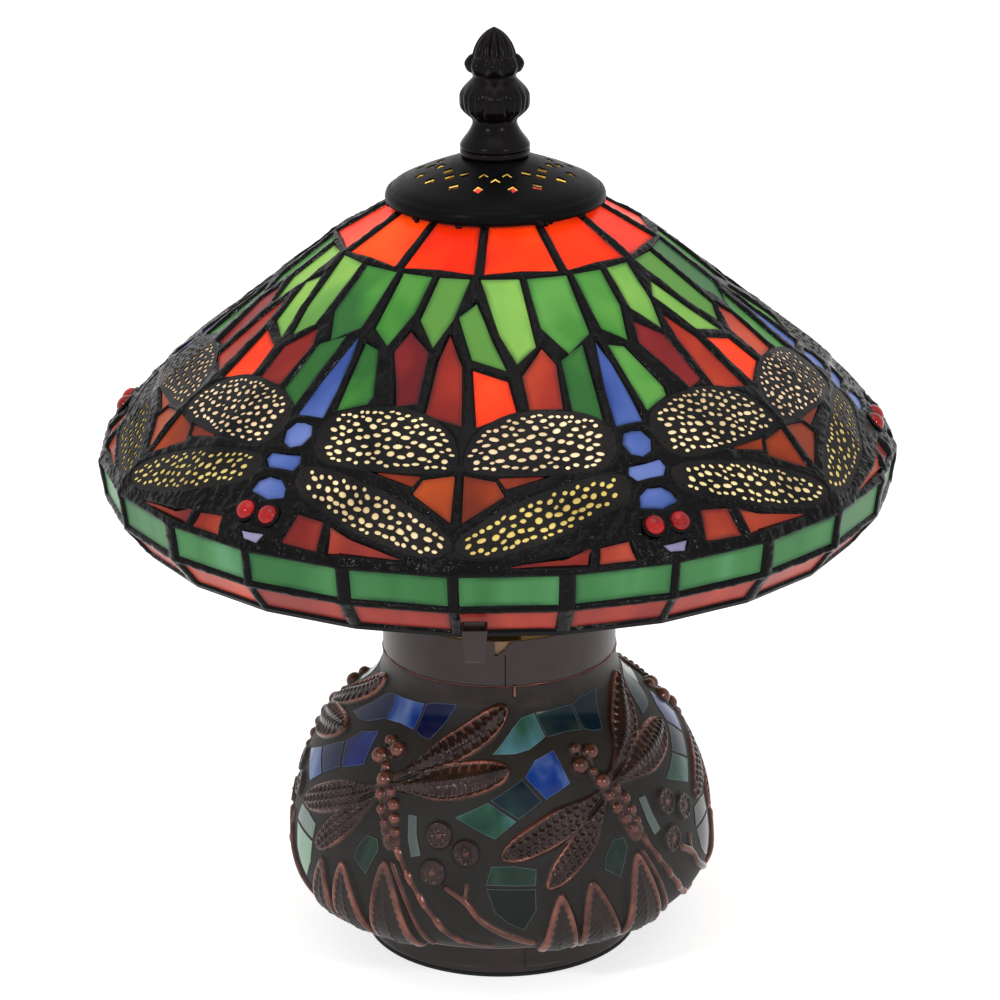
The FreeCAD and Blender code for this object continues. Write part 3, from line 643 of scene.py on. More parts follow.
def satin_bronze():
    """The cap's and the rim's almost black bronze."""
    stops = [(0.35, srgb(8, 8, 10)), (0.75, srgb(16, 15, 17))]
    bump = ((2500, 2.0, 0.5), 0.12, 0.08)
    shader = grained("satin_black_bronze", (45, 3.0, 0.6), stops, specular=0.04, bump=bump)
    shader.set("Roughness", shader.ramp(shader.noise(300, 4.0, 0.6), [(0.3, 0.28), (0.7, 0.4)]))
    return shader.material


def collar_bronze(name, dark, light, roughness):
    """Brown bronze sheet, half covered by its patina."""
    stops = [(0.3, srgb(*dark)), (0.75, srgb(*light))]
    bump = ((1300, 3.0, 0.6), 0.18, 0.1)
    return grained(name, (40, 4.0, 0.6, 0.5), stops, bump=bump, roughness=roughness, metallic=0.45).material


def cast_bronze():
    """Dark patina on the ground, and glossy relief rubbed to copper on its heights."""
    shader = Shader("cast_bronze")
    raised = shader.attribute("raised")
    ground = shader.ramp(shader.noise(55, 4.0, 0.6), [(0.3, srgb(24, 23, 22)), (0.75, srgb(37, 35, 33))])
    relief = shader.ramp(shader.noise(140, 4.0, 0.6), [(0.3, srgb(36, 29, 29)), (0.75, srgb(68, 54, 52))])
    copper = shader.ramp(shader.noise(160, 4.0, 0.6), [(0.3, srgb(104, 64, 56)), (0.7, srgb(160, 104, 90))])
    patches = shader.ramp(shader.noise(45, 4.0, 0.6), [(0.36, 0.3), (0.6, 1)])
    worn = shader.math("MULTIPLY", shader.attribute("rubbed"), patches)
    shader.set("Base Color", shader.mix(worn, shader.mix(raised, ground, relief), copper))
    shader.set("Metallic", shader.math("MULTIPLY", raised, 0.6))
    rough = shader.add("ShaderNodeMapRange")
    for socket, value in {"Value": raised, "To Min": 0.62, "To Max": 0.22}.items():
        shader.give(rough.inputs[socket], value)
    shader.set("Roughness", rough.outputs["Result"])
    shader.set("Specular IOR Level", 0.25)
    pits = shader.bump(shader.noise(1100, 4.0, 0.65), 0.3, 0.14)
    shader.bump(shader.noise(260, 3.0, 0.5), 0.3, 0.3, pits)
    return shader.material


def mosaic_glass(name, shades):
    """Streaked glass, each tile with its own tone and a paler line painted along its ground edges as a
    highlight.
    """
    shader = Shader(name, roughness=0.16)
    swirl = shader.noise(75.0, 2.0, 0.5, 0.6, (1, 1, 0.22))
    island = shader.geometry("Random Per Island")
    part = shader.math("ADD", shader.math("MULTIPLY", swirl, 0.55), shader.math("MULTIPLY", island, 0.4))
    # painted highlight: the rounded edges are mixed toward a pale colour, as a glint along them
    corner = shader.add("ShaderNodeBevel", samples=4)
    shader.give(corner.inputs["Radius"], 0.5 * MM)
    bend = shader.vector_math("DOT_PRODUCT", corner.outputs["Normal"], shader.geometry("True Normal"))
    edge = shader.ramp(bend, [(0.9, 0.35), (0.985, 0)])
    shader.set("Base Color", shader.mix(edge, shader.ramp(part, shades), srgb(150, 170, 180)))
    shader.set("Specular IOR Level", 0.18)
    shader.bump(shader.noise(220, 2.0, 0.5), 0.15, 0.2)
    return shader.material


def plain_metal(name, colour, roughness, metallic=1.0):
    """Bare metal in a colour and a lighter tone of it."""
    light = tuple(min(1.0, c * 1.25) for c in colour)
    bump = ((1800, 2.0, 0.5), 0.1, 0.06)
    surface = {"roughness": roughness, "metallic": metallic}
    return grained(name, (90, 4.0, 0.6), [(0.35, colour), (0.7, light)], bump=bump, **surface).material


def cream_glass():
    """Pale glass with a painted glow for the light behind it, cream in one wing and yellow in another."""
    shader = Shader("cream_wing_glass", roughness=0.25)
    shades = ((246, 214, 178), (240, 220, 170), (220, 200, 112), (200, 168, 68))
    stops = [(0.05 + 0.3 * k, srgb(*shade)) for k, shade in enumerate(shades)]
    patches = shader.ramp(shader.noise(60, 3.0, 0.5), [(0.35, srgb(206, 196, 186)), (0.6, 1)])
    shader.shine(shader.mix(1.0, shader.ramp(shader.attribute("tint"), stops), patches, "MULTIPLY"), 0.42)
    return shader.material


LEAD = lead_material()
CREAM_GLASS = cream_glass()
WING_METAL = plate_material()
CAP_METAL = satin_bronze()
CAST = cast_bronze()
COLLAR_METAL = collar_bronze("collar_metal", (40, 31, 31), (55, 44, 43), 0.34)
FOOT_METAL = collar_bronze("foot_metal", (36, 29, 28), (50, 41, 39), 0.36)
COPPER = plain_metal("bright_copper", srgb(108, 70, 66), 0.28)
BRASS = plain_metal("aged_brass", srgb(170, 135, 75), 0.3)
# the top of the collar's inside, painted as brass lit by the bulb
LINING_PAINTED_LIT = plain_metal("lining_painted_lit", srgb(128, 100, 74), 0.45, 0.3)
STEEL = plain_metal("zinc_steel", srgb(150, 148, 144), 0.35)
FINIAL_METAL = grained(
    "finial_bronze", (120, 3.0, 0.6), [(0.35, srgb(8, 6, 7)), (0.75, srgb(20, 13, 13))],
    bump=((1600, 3.0, 0.5), 0.15, 0.1), specular=0.08, roughness=0.24,
).material
# bare brass close above the bulb, with the bulb's light on it painted on as a glow
BRASS_WITH_PAINTED_GLOW = grained(
    "brass_with_painted_glow", (120, 3.0, 0.6), [(0.4, srgb(96, 72, 30)), (0.62, srgb(240, 206, 104))],
    glow=0.9, roughness=0.35, metallic=0.6,
).material
# the rubies get a faint painted glow, for light coming through them
RUBY = grained(
    "ruby_glass", (180, 3.0, 0.5), [(0.35, srgb(104, 0, 4)), (0.65, srgb(166, 5, 8))],
    glow=0.22, specular=0.3, roughness=0.05,
).material
FROSTED_GLASS = grained(
    "lit_frosted_glass", (40, 2.0, 0.5), [(0.2, srgb(208, 186, 146)), (0.8, srgb(220, 202, 168))],
    glow=0.35, roughness=0.4,
).material
PLASTIC = grained(
    "dark_phenolic", (500, 3.0), [(0.3, srgb(16, 15, 15)), (0.7, srgb(34, 31, 30))], roughness=0.35,
).material
FELT = grained(
    "green_felt", (2500, 4.0, 0.7), [(0.3, srgb(9, 12, 10)), (0.7, srgb(22, 27, 23))],
    bump=((2500, 4.0, 0.7), 0.6, 0.4), roughness=0.95,
).material
RUBBER = grained(
    "bushing_rubber", (900, 3.0), [(0.3, srgb(18, 18, 18)), (0.7, srgb(32, 31, 31))], roughness=0.7,
).material

# colours of each glass of the shade, and how much painted glow it has for the bulb's light behind it
GLASS_LOOKS = {
    "glass_crown_orange": (((204, 34, 6), (228, 50, 8), (240, 72, 16)), 0.45),
    "glass_leaf_green": (((40, 88, 40), (58, 116, 46), (82, 138, 62)), 0.45),
    "glass_spring_green": (((78, 124, 52), (100, 148, 66), (126, 168, 74)), 0.45),
    "glass_dark_red": (((92, 20, 24), (118, 30, 32), (134, 42, 38)), 0.4),
    "glass_scarlet": (((118, 28, 22), (148, 42, 28), (178, 64, 38)), 0.4),
    "glass_orange": (((210, 44, 12), (228, 54, 16), (238, 70, 24)), 0.5),
    "glass_dragonfly_blue": (((50, 70, 132), (76, 98, 162), (106, 122, 180)), 0.38),
    "glass_lavender": (((108, 104, 132), (136, 132, 164), (160, 156, 184)), 0.35),
    "glass_amber": (((104, 34, 16), (136, 50, 22), (168, 70, 28)), 0.35),
    "glass_rose": (((112, 34, 32), (150, 54, 38), (180, 78, 58)), 0.35),
    "glass_border_green": (((56, 108, 62), (74, 130, 80), (96, 150, 108)), 0.35),
    "glass_border_red": (((138, 46, 42), (168, 60, 46), (204, 74, 42)), 0.35),
}
# colours of each glass of the mosaic
TILE_LOOKS = {
    "tiles_cobalt": ((10, 20, 62), (16, 34, 104), (26, 62, 142), (92, 120, 172)),
    "tiles_teal": ((12, 32, 46), (22, 50, 50), (40, 80, 64), (80, 130, 146)),
    "tiles_pale_green": ((84, 96, 94), (104, 116, 112), (118, 140, 130), (136, 176, 152)),
    "tiles_dark_green": ((12, 20, 18), (20, 36, 30), (38, 64, 52), (48, 78, 64)),
}


# the nodes that stay as the CAD's solids
NODE_LOOKS = {
    BRASS: ("harp", "harp_saddle", "harp_ferrule_left", "harp_ferrule_right", "socket_cap", "socket_shell",
            "screw_shell"),
    STEEL: ("base_plate", "neck_plate", "lamp_pipe", "pipe_nuts", "bulb_cap"),
    PLASTIC: ("socket_body", "switch_key"),
    FELT: ("felt_pad",),
    RUBBER: ("cord_bushing",),
    CAP_METAL: ("rim_strip",),
}


def paint_nodes():
    """Gives each CAD node that stays its material."""
    for material, names in NODE_LOOKS.items():
        for name in names:
            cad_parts[name].material_slots[0].material = material


# ---- the shade's surface ----

SHELL_ALONG = [0.0]
for index in range(1, len(SHELL_RADII)):
    step_out = SHELL_RADII[index] - SHELL_RADII[index - 1]
    step_down = SHELL_DROPS[index] - SHELL_DROPS[index - 1]
    SHELL_ALONG.append(SHELL_ALONG[-1] + math.hypot(step_out, step_down))


def along_shell(ring):
    """The distance down the shade's outside from its top edge to a ring."""
    return float(np.interp(ring, range(len(SHELL_ALONG)), SHELL_ALONG))


def shell_radius(along):
    return np.interp(along, SHELL_ALONG, SHELL_RADII)


def shell_drop(along):
    return np.interp(along, SHELL_ALONG, SHELL_DROPS)


def shade_places(angle, along, lift):
    """Places over the shade's facets, at angles from the first dragonfly's axis."""
    ahead, behind = np.minimum(along + LEAN_REACH, SHELL_ALONG[-1]), np.maximum(along - LEAN_REACH, 0)
    out, down = shell_radius(ahead) - shell_radius(behind), shell_drop(ahead) - shell_drop(behind)
    length = np.hypot(out, down)
    from_middle = np.radians(np.mod(angle, SIDE_ANGLE) - SIDE_ANGLE / 2)
    facet = math.cos(math.radians(SIDE_ANGLE / 2)) / np.cos(from_middle)
    radius = shell_radius(along) * facet + lift * down / length
    return places_round(FIRST_DRAGONFLY + angle, radius, shade_top - shell_drop(along) + lift * out / length)


def places_round(angle, radius, height):
    """Points round the axis, from arrays of angles, radii and heights."""
    turn = np.radians(angle)
    return np.stack(np.broadcast_arrays(radius * np.sin(turn), -radius * np.cos(turn), height), axis=-1)


def shade_point(angle, along, lift):
    return Vector(shade_places(angle, along, lift))


# ---- dragonfly wings ----


class Wing:
    """A wing's outline in its own flat frame, in millimetres, and its holes."""

    def __init__(self, outline, lean, seed):
        rings = [ring for angle, ring in outline]
        self.upper = max(rings) < 2.1
        self.radius = float(shell_radius(along_shell(sum(rings) / len(rings))))
        flat = [(math.radians(angle) * self.radius, along_shell(ring)) for angle, ring in outline]
        self.loop = [Vector(point) for point in smooth_line(flat, 6, closed=True)]
        self.holes = self.pierce(lean, random.Random(seed))
        self.tucked = grown(self.loop, WING_TUCK)

    def edge_distance(self, point):
        """How far a point is inside the outline, negative outside it."""
        nearest, crossings = 1e9, 0
        for start, end in zip(self.loop, self.loop[1:] + self.loop[:1]):
            edge = end - start
            share = max(0.0, min(1.0, (point - start).dot(edge) / max(edge.length_squared, 1e-9)))
            nearest = min(nearest, (point - start - edge * share).length)
            if (start.y > point.y) != (end.y > point.y):
                across = start.x + (point.y - start.y) / (end.y - start.y) * edge.x
                crossings += across > point.x
        return nearest if crossings % 2 else -nearest

    def pierce(self, lean, draw):
        """Oval holes over the wing: small near its leading edge and its tip, larger lower down."""
        left, right = min(p.x for p in self.loop), max(p.x for p in self.loop)
        top, bottom = min(p.y for p in self.loop), max(p.y for p in self.loop)
        holes = []
        for attempt in range(HOLE_TRIES):
            centre = Vector((draw.uniform(left + ROOT_PLATE, right), draw.uniform(top, bottom)))
            early = 1 - attempt / HOLE_TRIES
            radius = (0.6 + 0.5 * early ** 0.5) * draw.uniform(0.85, 1.15)
            inside = self.edge_distance(centre)
            if inside < radius + HOLE_EDGE:
                continue
            radius = min(radius, 0.5 + 0.15 * inside)
            stretch = draw.uniform(1.05, 2.0)
            turn = math.radians(lean + draw.uniform(-22, 22))
            apart = radius * 1.1 + HOLE_GAP
            if any((centre - other).length < apart + reach * 1.1 for other, reach, *_ in holes):
                continue
            holes.append((centre, radius, stretch, turn))
        return holes

    def place(self, side, axis):
        """The way from the flat frame to the shade, on one side of a dragonfly's axis."""
        def placed(point, lift):
            return shade_point(axis + side * math.degrees(point[0] / self.radius), point[1], lift)

        return placed

    def plate_lift(self, point):
        inside = max(0.0, self.edge_distance(point))
        return PLATE_LIFT + PLATE_DOME * min(1.0, inside / 5)


def oval(centre, radius, stretch, turn):
    """The corners of an oval hole."""
    long_half, short_half = radius * math.sqrt(stretch), radius / math.sqrt(stretch)
    corners = []
    for k in range(HOLE_CORNERS):
        around = math.tau * k / HOLE_CORNERS
        x, y = long_half * math.cos(around), short_half * math.sin(around)
        across = x * math.cos(turn) - y * math.sin(turn)
        down = x * math.sin(turn) + y * math.cos(turn)
        corners.append(centre + Vector((across, down)))
    return corners


def grid_inside(outline, holes, step):
    """Points of a grid that lie inside an outline and outside its holes."""
    lines = [np.arange(min(values) + step / 2, max(values), step) for values in zip(*outline)]
    x, y = np.meshgrid(*lines, indexing="ij")
    inside = inside_distance(x, y, outline) > 0
    for hole in holes:
        inside &= inside_distance(x, y, hole) < 0
    return [Vector(place) for place in zip(x[inside], y[inside])]


def sheet(outline, holes, place, top, bottom, step=None):
    """Points and faces of a sheet with holes, laid on a surface.

    place(point, lift) gives the point over the surface, and top may be a function of the point.
    """
    loops = [outline, *holes]
    flat = [Vector(point) for loop in loops for point in loop]
    owner = [number for number, loop in enumerate(loops) for _ in loop]
    edges, start = [], 0
    for loop in loops:
        count = len(loop)
        edges += [(start + k, start + (k + 1) % count) for k in range(count)]
        start += count
    if step:
        flat += grid_inside(outline, holes, step)
        owner += [-1] * (len(flat) - len(owner))
    found, _, triangles, origins, _, _ = delaunay_2d_cdt(flat, edges, [], 1, 1e-6)
    owners = [owner[origin[0]] if origin else -1 for origin in origins]
    lift_of = top if callable(top) else lambda point: top
    points = [place(point, lift_of(point)) for point in found]
    faces = []
    below = len(points)
    points += [place(point, bottom) for point in found]
    for triangle in triangles:
        of_triangle = {owners[corner] for corner in triangle}
        if len(of_triangle) > 1 or min(of_triangle) < 1:
            faces.append(tuple(triangle))
            faces.append(tuple(below + corner for corner in reversed(triangle)))
    for loop in loops:
        first, count = len(points), len(loop)
        points += [place(Vector(point), lift_of(Vector(point))) for point in loop]
        points += [place(Vector(point), bottom) for point in loop]
        for k in range(count):
            beside = (k + 1) % count
            faces.append((first + k, first + beside, first + count + beside, first + count + k))
    return points, faces


def grown(loop, reach):
    """A closed outline moved outwards by a reach."""
    area = sum(start.x * end.y - end.x * start.y for start, end in zip(loop, loop[1:] + loop[:1]))
    way = 1 if area > 0 else -1
    moved = []
    for before, point, after in zip(loop[-1:] + loop[:-1], loop, loop[1:] + loop[:1]):
        first, second = (point - before).normalized(), (after - point).normalized()
        out = Vector((first.y + second.y, -first.x - second.x)) * way
        spread = max(0.35, out.length_squared / 2)
        moved.append(point + out * (reach / spread))
    return moved


def wing_sets():
    """Each wing of the shade: (wing, side, angle of its dragonfly's axis)."""
    kinds = []
    for outline, lean in ((UPPER_WING, 4), (LOWER_WING, 30)):
        kinds.append([Wing(outline, lean, seed) for seed in (3, 8, 21)])
    sets = []
    for number in range(DRAGONFLIES):
        for side in (-1, 1):
            for rank, wings in enumerate(kinds):
                sets.append((wings[(number + rank + (side > 0)) % len(wings)], side, number * SHARE_ANGLE))
    return sets


# ---- panes and leads ----


def mirrored(outlines):
    """Each outline and its mirror image across the dragonfly's axis."""
    return outlines + [[(-angle, ring) for angle, ring in reversed(outline)] for outline in outlines]


def border_outlines(rings):
    """The panes of one row of the border, one to each facet."""
    top, bottom = rings
    outlines = []
    for side, lead in enumerate(BORDER_LEADS):
        left = side * SIDE_ANGLE + lead
        right = (side + 1) * SIDE_ANGLE - BORDER_LEADS[(side + 1) % len(BORDER_LEADS)]
        outlines.append([(left, top), (right, top), (right, bottom), (left, bottom)])
    return outlines


def pane_outlines():
    """The outlines of each colour of glass in one dragonfly's share."""
    outlines = {"glass_crown_orange": mirrored(CROWN_GLASS)}
    outlines.update(RAY_GLASS)
    outlines["glass_dragonfly_blue"] = BODY_GLASS
    outlines["glass_lavender"] = [TAIL_LIGHT]
    outlines["glass_amber"] = mirrored(SEAM_GLASS)
    outlines["glass_rose"] = LOW_GLASS
    outlines["glass_border_green"] = border_outlines(GREEN_BORDER)
    outlines["glass_border_red"] = border_outlines(RED_BORDER)
    return outlines


class Pane:
    """A flat pane on the plane nearest to its corners on the shell."""

    def __init__(self, outline, axis):
        self.angles = [axis + angle for angle, ring in outline]
        self.alongs = [along_shell(ring) for angle, ring in outline]
        corners = [Vector(shade_places(a, d, GLASS_LIFT)) for a, d in zip(self.angles, self.alongs)]
        middle = sum(corners, Vector()) / len(corners)
        normal = sum(
            ((a - middle).cross(b - middle) for a, b in zip(corners, corners[1:] + corners[:1])), Vector()
        ).normalized()
        if normal.dot(Vector((middle.x, middle.y, 0))) < 0:
            normal = -normal
        self.across = Vector((0, 0, 1)).cross(normal).normalized()
        self.up = normal.cross(self.across)
        self.middle, self.normal = middle, normal
        self.loop = [Vector(((c - middle).dot(self.across), (c - middle).dot(self.up))) for c in corners]

    def point(self, flat, lift):
        return self.middle + self.across * flat.x + self.up * flat.y + self.normal * lift

    def plate(self):
        """The pane as a prism tucked under its leads, and how near to the edge each point is, for the painted
        shade along the leads.
        """
        centre = np.array(self.loop).mean(0)[:, None]
        reach = min(PAINTED_EDGE_SHADE, 0.5 * max(inside_distance(*centre, self.loop)[0], 0.4))
        rims = [(PANE_TUCK, -GLASS_THICKNESS), (PANE_TUCK, 0), (-0.1, 0), (-reach, 0)]
        points = [self.point(flat, lift) for out, lift in rims for flat in grown(self.loop, out)]
        count = len(self.loop)
        faces = []
        for start in range(0, 3 * count, count):
            for k in range(count):
                beside = (k + 1) % count
                faces.append((start + k, start + beside, start + count + beside, start + count + k))
        faces += [tuple(range(3 * count, 4 * count)), tuple(reversed(range(count)))]
        return points, faces, [1.0] * (3 * count) + [0.0] * count

    def inside(self, places):
        """How far places lie inside the pane's outline, negative outside it."""
        from_middle = places - np.array(self.middle)
        x, y = from_middle @ np.array(self.across), from_middle @ np.array(self.up)
        return inside_distance(x, y, self.loop)


def inside_distance(x, y, loop):
    """How far places lie inside a closed outline, negative outside it."""
    nearest = np.full(x.shape, 1e9)
    within = np.zeros(x.shape, bool)
    for (x0, y0), (x1, y1) in zip(loop, loop[1:] + loop[:1]):
        run_x, run_y = x1 - x0, y1 - y0
        share = np.clip(((x - x0) * run_x + (y - y0) * run_y) / (run_x ** 2 + run_y ** 2 + 1e-12), 0, 1)
        nearest = np.minimum(nearest, np.hypot(x - x0 - share * run_x, y - y0 - share * run_y))
        if abs(run_y) > 1e-9:
            within ^= ((y0 > y) != (y1 > y)) & (x < x0 + (y - y0) / run_y * run_x)
    return np.where(within, nearest, -nearest)


def all_panes():
    """Each colour's panes, all round the shade."""
    panes = {}
    for group, outlines in pane_outlines().items():
        panes[group] = [
            Pane(outline, number * SHARE_ANGLE) for number in range(DRAGONFLIES) for outline in outlines
        ]
    return panes


def random_field(rows, columns, coarse_rows, coarse_columns, seed):
    """A smooth random field between -1 and 1 that closes round the axis."""
    draw = np.random.default_rng(seed)
    coarse = draw.uniform(-1, 1, (coarse_rows + 1, coarse_columns))
    coarse = np.concatenate([coarse, coarse[:, :1]], axis=1)
    row = np.linspace(0, coarse_rows, rows)
    column = np.arange(columns) * coarse_columns / columns

    def parts(value, last):
        """The coarse step below each value, and its eased share of the way to the next."""
        low = np.minimum(value.astype(int), last - 1)
        share = value - low
        return low, share * share * (3 - 2 * share)

    row_low, row_share = parts(row, coarse_rows)
    column_low, column_share = parts(column, coarse_columns)
    row_share = row_share[:, None]
    top, below = (
        coarse[low][:, column_low] * (1 - column_share) + coarse[low][:, column_low + 1] * column_share
        for low in (row_low, row_low + 1)
    )
    return top * (1 - row_share) + below * row_share


def pane_field(panes, wings):
    """The grid over the shade, and how far each place lies inside the nearest pane."""
    angle = np.arange(GRID_COLUMNS) * 360 / GRID_COLUMNS
    along = np.linspace(0, SHELL_ALONG[-1], round(SHELL_ALONG[-1] / GRID_STEP) + 1)
    angle_grid, along_grid = np.meshgrid(angle, along)
    places = shade_places(angle_grid, along_grid, GLASS_LIFT)
    inside = np.full(angle_grid.shape, -9.0)
    step = 360 / GRID_COLUMNS

    def window(angles, alongs, pad):
        """The part of the grid round some places, and the angles of its columns."""
        reach = math.degrees(pad / shell_radius(max(min(alongs) - pad, 0)))
        first, last = math.floor((min(angles) - reach) / step), math.ceil((max(angles) + reach) / step)
        rows = np.where((along > min(alongs) - pad) & (along < max(alongs) + pad))[0]
        columns = np.arange(first, last + 1)
        return np.ix_(rows, columns % GRID_COLUMNS), columns * step

    for group in panes.values():
        for pane in group:
            patch, _ = window(pane.angles, pane.alongs, 3.0)
            inside[patch] = np.maximum(inside[patch], pane.inside(places[patch]))
    for wing, side, axis in wings:
        across = [math.degrees(point.x / wing.radius) * side + axis for point in wing.loop]
        patch, angles = window(across, [point.y for point in wing.loop], 3.0)
        x = np.radians((angles[None, :] - axis) * side) * wing.radius + 0 * along_grid[patch]
        inside[patch] = np.maximum(inside[patch], inside_distance(x, along_grid[patch], wing.loop))
    eye_along = along_shell(EYE_RING)
    for eye_angle in eye_angles():
        patch, _ = window([eye_angle], [eye_along], 6.0)
        out = np.linalg.norm(places[patch] - shade_places(eye_angle, eye_along, GLASS_LIFT), axis=-1)
        inside[patch] = np.maximum(inside[patch], JEWEL_RADIUS - 0.2 - out)
    return angle_grid, along_grid, inside


def eye_angles():
    """The angle of every eye round the shade."""
    return [number * SHARE_ANGLE + side * EYE_ANGLE for number in range(DRAGONFLIES) for side in (-1, 1)]


def shade_lead(panes, wings):
    """The leads as one network of poured solder, rounded over and lumpy, on both sides of the glass."""
    angle, along, inside = pane_field(panes, wings)
    rise = np.clip((LEAD_FOOT - inside) / (LEAD_FOOT + LEAD_SHOULDER), 0, 1)
    lift = -LEAD_SINK + (LEAD_SINK + LEAD_RISE) * np.sin(rise * math.pi / 2)
    # The solder is the most wrinkled in the band between the dragonflies' wings and the border.
    low_band = smoothstep(along, along_shell(2.0), along_shell(2.6))
    low_band = low_band * smoothstep(along, along_shell(4.3), along_shell(3.4))
    lumps, wrinkles = (
        sum(random_field(*inside.shape, *grain) * size for *grain, size in fields)
        for fields in (LUMPS, WRINKLES)
    )
    full = smoothstep(rise, 0.45, 1.0)
    outer = lift + full * (lumps + wrinkles * (0.12 + 0.75 * low_band))
    inner = -LEAD_THICKNESS - lift + full * lumps
    keep = inside < LEAD_FOOT + LEAD_KEPT
    kept = keep[:-1] & keep[1:]
    kept = kept & np.roll(kept, -1, axis=1)
    low, high = (np.array(corner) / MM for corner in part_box("shade_lead"))

    def held(places):
        """The places, kept inside the node's box."""
        return np.clip(places, low + 0.02, high - 0.02)

    mesh = grid_mesh("leading", held(shade_places(angle, along, outer)), kept)
    add_piece("leading", mesh, "shade", "lead", LEAD, ["shade_lead"])
    mesh = grid_mesh("leading_inside", held(shade_places(angle, along, inner)), kept, turned=True)
    add_piece("leading_inside", mesh, "shade", "lead", LEAD)
    turns = np.arange(0, 360, 1.5)
    edges = [
        ring_mesh([
            [Vector(place) for place in held(shade_places(turns, ring_along, side))]
            for side in (0.3, -LEAD_THICKNESS - 0.3)
        ])
        for ring_along in (0.0, SHELL_ALONG[-1])
    ]
    build_piece("leading_edges", edges, "shade", "lead", LEAD)


def glass_panes(panes):
    """Every pane as a flat plate, by colour."""
    for group, members in panes.items():
        shades, glow = GLASS_LOOKS[group]
        look = art_glass(group + "_look", glass_shades(*shades), glow)
        plates = [pane.plate() for pane in members]
        name = group.replace("glass", "panes")
        mesh = mesh_from(name, *join_parts([(points, faces) for points, faces, _ in plates]), 30)
        # how near each point is to the pane's edge, which the glass darkens as painted shade
        mark(mesh, "edge", [value for *_, values in plates for value in values])
        add_piece(name, mesh, "shade", group, look, [group])


def dragonfly_wings(wings):
    """The pierced plates, and under them the cream glass, painted as glowing, that shows through the holes.
    """
    plates, glows, tints = [], [], []
    draw = random.Random(12)
    for wing, side, axis in wings:
        place = wing.place(side, axis)
        holes = [oval(*hole) for hole in wing.holes]
        plates.append(sheet(wing.tucked, holes, place, wing.plate_lift, GLOW_LIFT - 0.1))
        glow = sheet(grown(wing.loop, 0.1), [], place, GLOW_LIFT, GLASS_LIFT - GLASS_THICKNESS, step=3.2)
        tint = draw.uniform(0, 0.45) if wing.upper else draw.uniform(0.35, 1)
        tints += [tint] * len(glow[0])
        glows.append(glow)
    build_piece("wing_plates", plates, "shade", "filigree_metal", WING_METAL, ["wing_filigree"], 50)
    mesh = mesh_from("wing_panes", *join_parts(glows), 50)
    mark(mesh, "tint", tints)
    add_piece("wing_panes", mesh, "shade", "wing_cream", CREAM_GLASS, ["wing_glass"])


def eye_jewels():
    """Ruby cabochons in wrinkled solder bezels."""
    domes, bezels = [], []
    draw = random.Random(5)
    along = along_shell(EYE_RING)
    turns = [math.tau * k / EYE_SIDES for k in range(EYE_SIDES)]
    for angle in eye_angles():
        foot = shade_point(angle, along, 0)
        out = (shade_point(angle, along, 1) - foot).normalized()
        across = out.cross(Vector((0, 0, 1))).normalized()
        up = out.cross(across).normalized()

        def ring(radius, height):
            """A ring of points over the shade."""
            return [foot + (across * math.cos(t) + up * math.sin(t)) * radius + out * height for t in turns]

        rows = []
        for rise in range(9):
            lean = math.pi / 2 * rise / 8
            rows.append(ring(max(JEWEL_RADIUS * math.cos(lean), 0.01), 0.3 + JEWEL_HEIGHT * math.sin(lean)))
        domes.append(ring_mesh(rows))
        radii = [BEZEL_RADIUS * draw.uniform(0.85, 1.2) for _ in turns]
        bezels.append(tube_along(ring(JEWEL_RADIUS + 0.2, 0.4), radii, 8, True))
    build_piece("eye_cabochons", domes, "shade", "ruby", RUBY, ["eye_jewels"])
    build_piece("eye_bezels", bezels, "shade", "lead", LEAD, sharp_angle=80)


# ---- cap and finial ----


def vent_cap():
    """The spun cap: a dome with diamond vents over a lining painted as glowing in the bulb's light, a rolled
    rim, and drops of solder.
    """
    crown = cap_high.z
    radii, heights = zip(*smooth_line([(radius, crown + height) for radius, height in CAP_DOME], 4))

    def place(point, lift):
        height = float(np.interp(math.hypot(point[0], point[1]), radii, heights))
        return Vector((point[0], point[1], height + lift))

    def circle(radius, count):
        return [Vector((radius * math.sin(math.tau * k / count), -radius * math.cos(math.tau * k / count)))
                for k in range(count)]

    vents = []
    for group in range(VENT_GROUPS):
        turn = math.tau * group / VENT_GROUPS
        for across, out in VENT_PLACES:
            diamond = [(across - VENT_HALF, out), (across, out - VENT_HALF), (across + VENT_HALF, out),
                       (across, out + VENT_HALF)]
            vents.append([
                Vector((x * math.cos(turn) + y * math.sin(turn), x * math.sin(turn) - y * math.cos(turn)))
                for x, y in diamond
            ])
    holes = [circle(CAP_BORE, 24), *vents]
    dome = sheet(circle(33, 120), holes, place, 0, -0.5, step=1.6)
    lining = sheet(circle(32, 96), holes, place, -0.55, -0.9, step=2.4)
    build_piece("cap_lining", [lining], "shade", "cap_bronze", BRASS_WITH_PAINTED_GLOW, sharp_angle=35)
    rim = revolve([(radius, crown + height) for radius, height in smooth_line(CAP_ROLL, 4)], 120)
    build_piece("cap", [dome, rim], "shade", "cap_bronze", CAP_METAL, ["vent_cap"], 35)
    draw = random.Random(9)
    drops = []
    for middle, size in CAP_SOLDER:
        for _ in range(2):
            angle = middle + draw.uniform(-2.4, 2.4)
            height = cap_low.z + draw.uniform(0.2, 1.6)
            drops.append(blob(round_point(angle, 33.5, height), size * draw.uniform(0.6, 1.0)))
    build_piece("cap_solder", drops, "shade", "lead", LEAD)


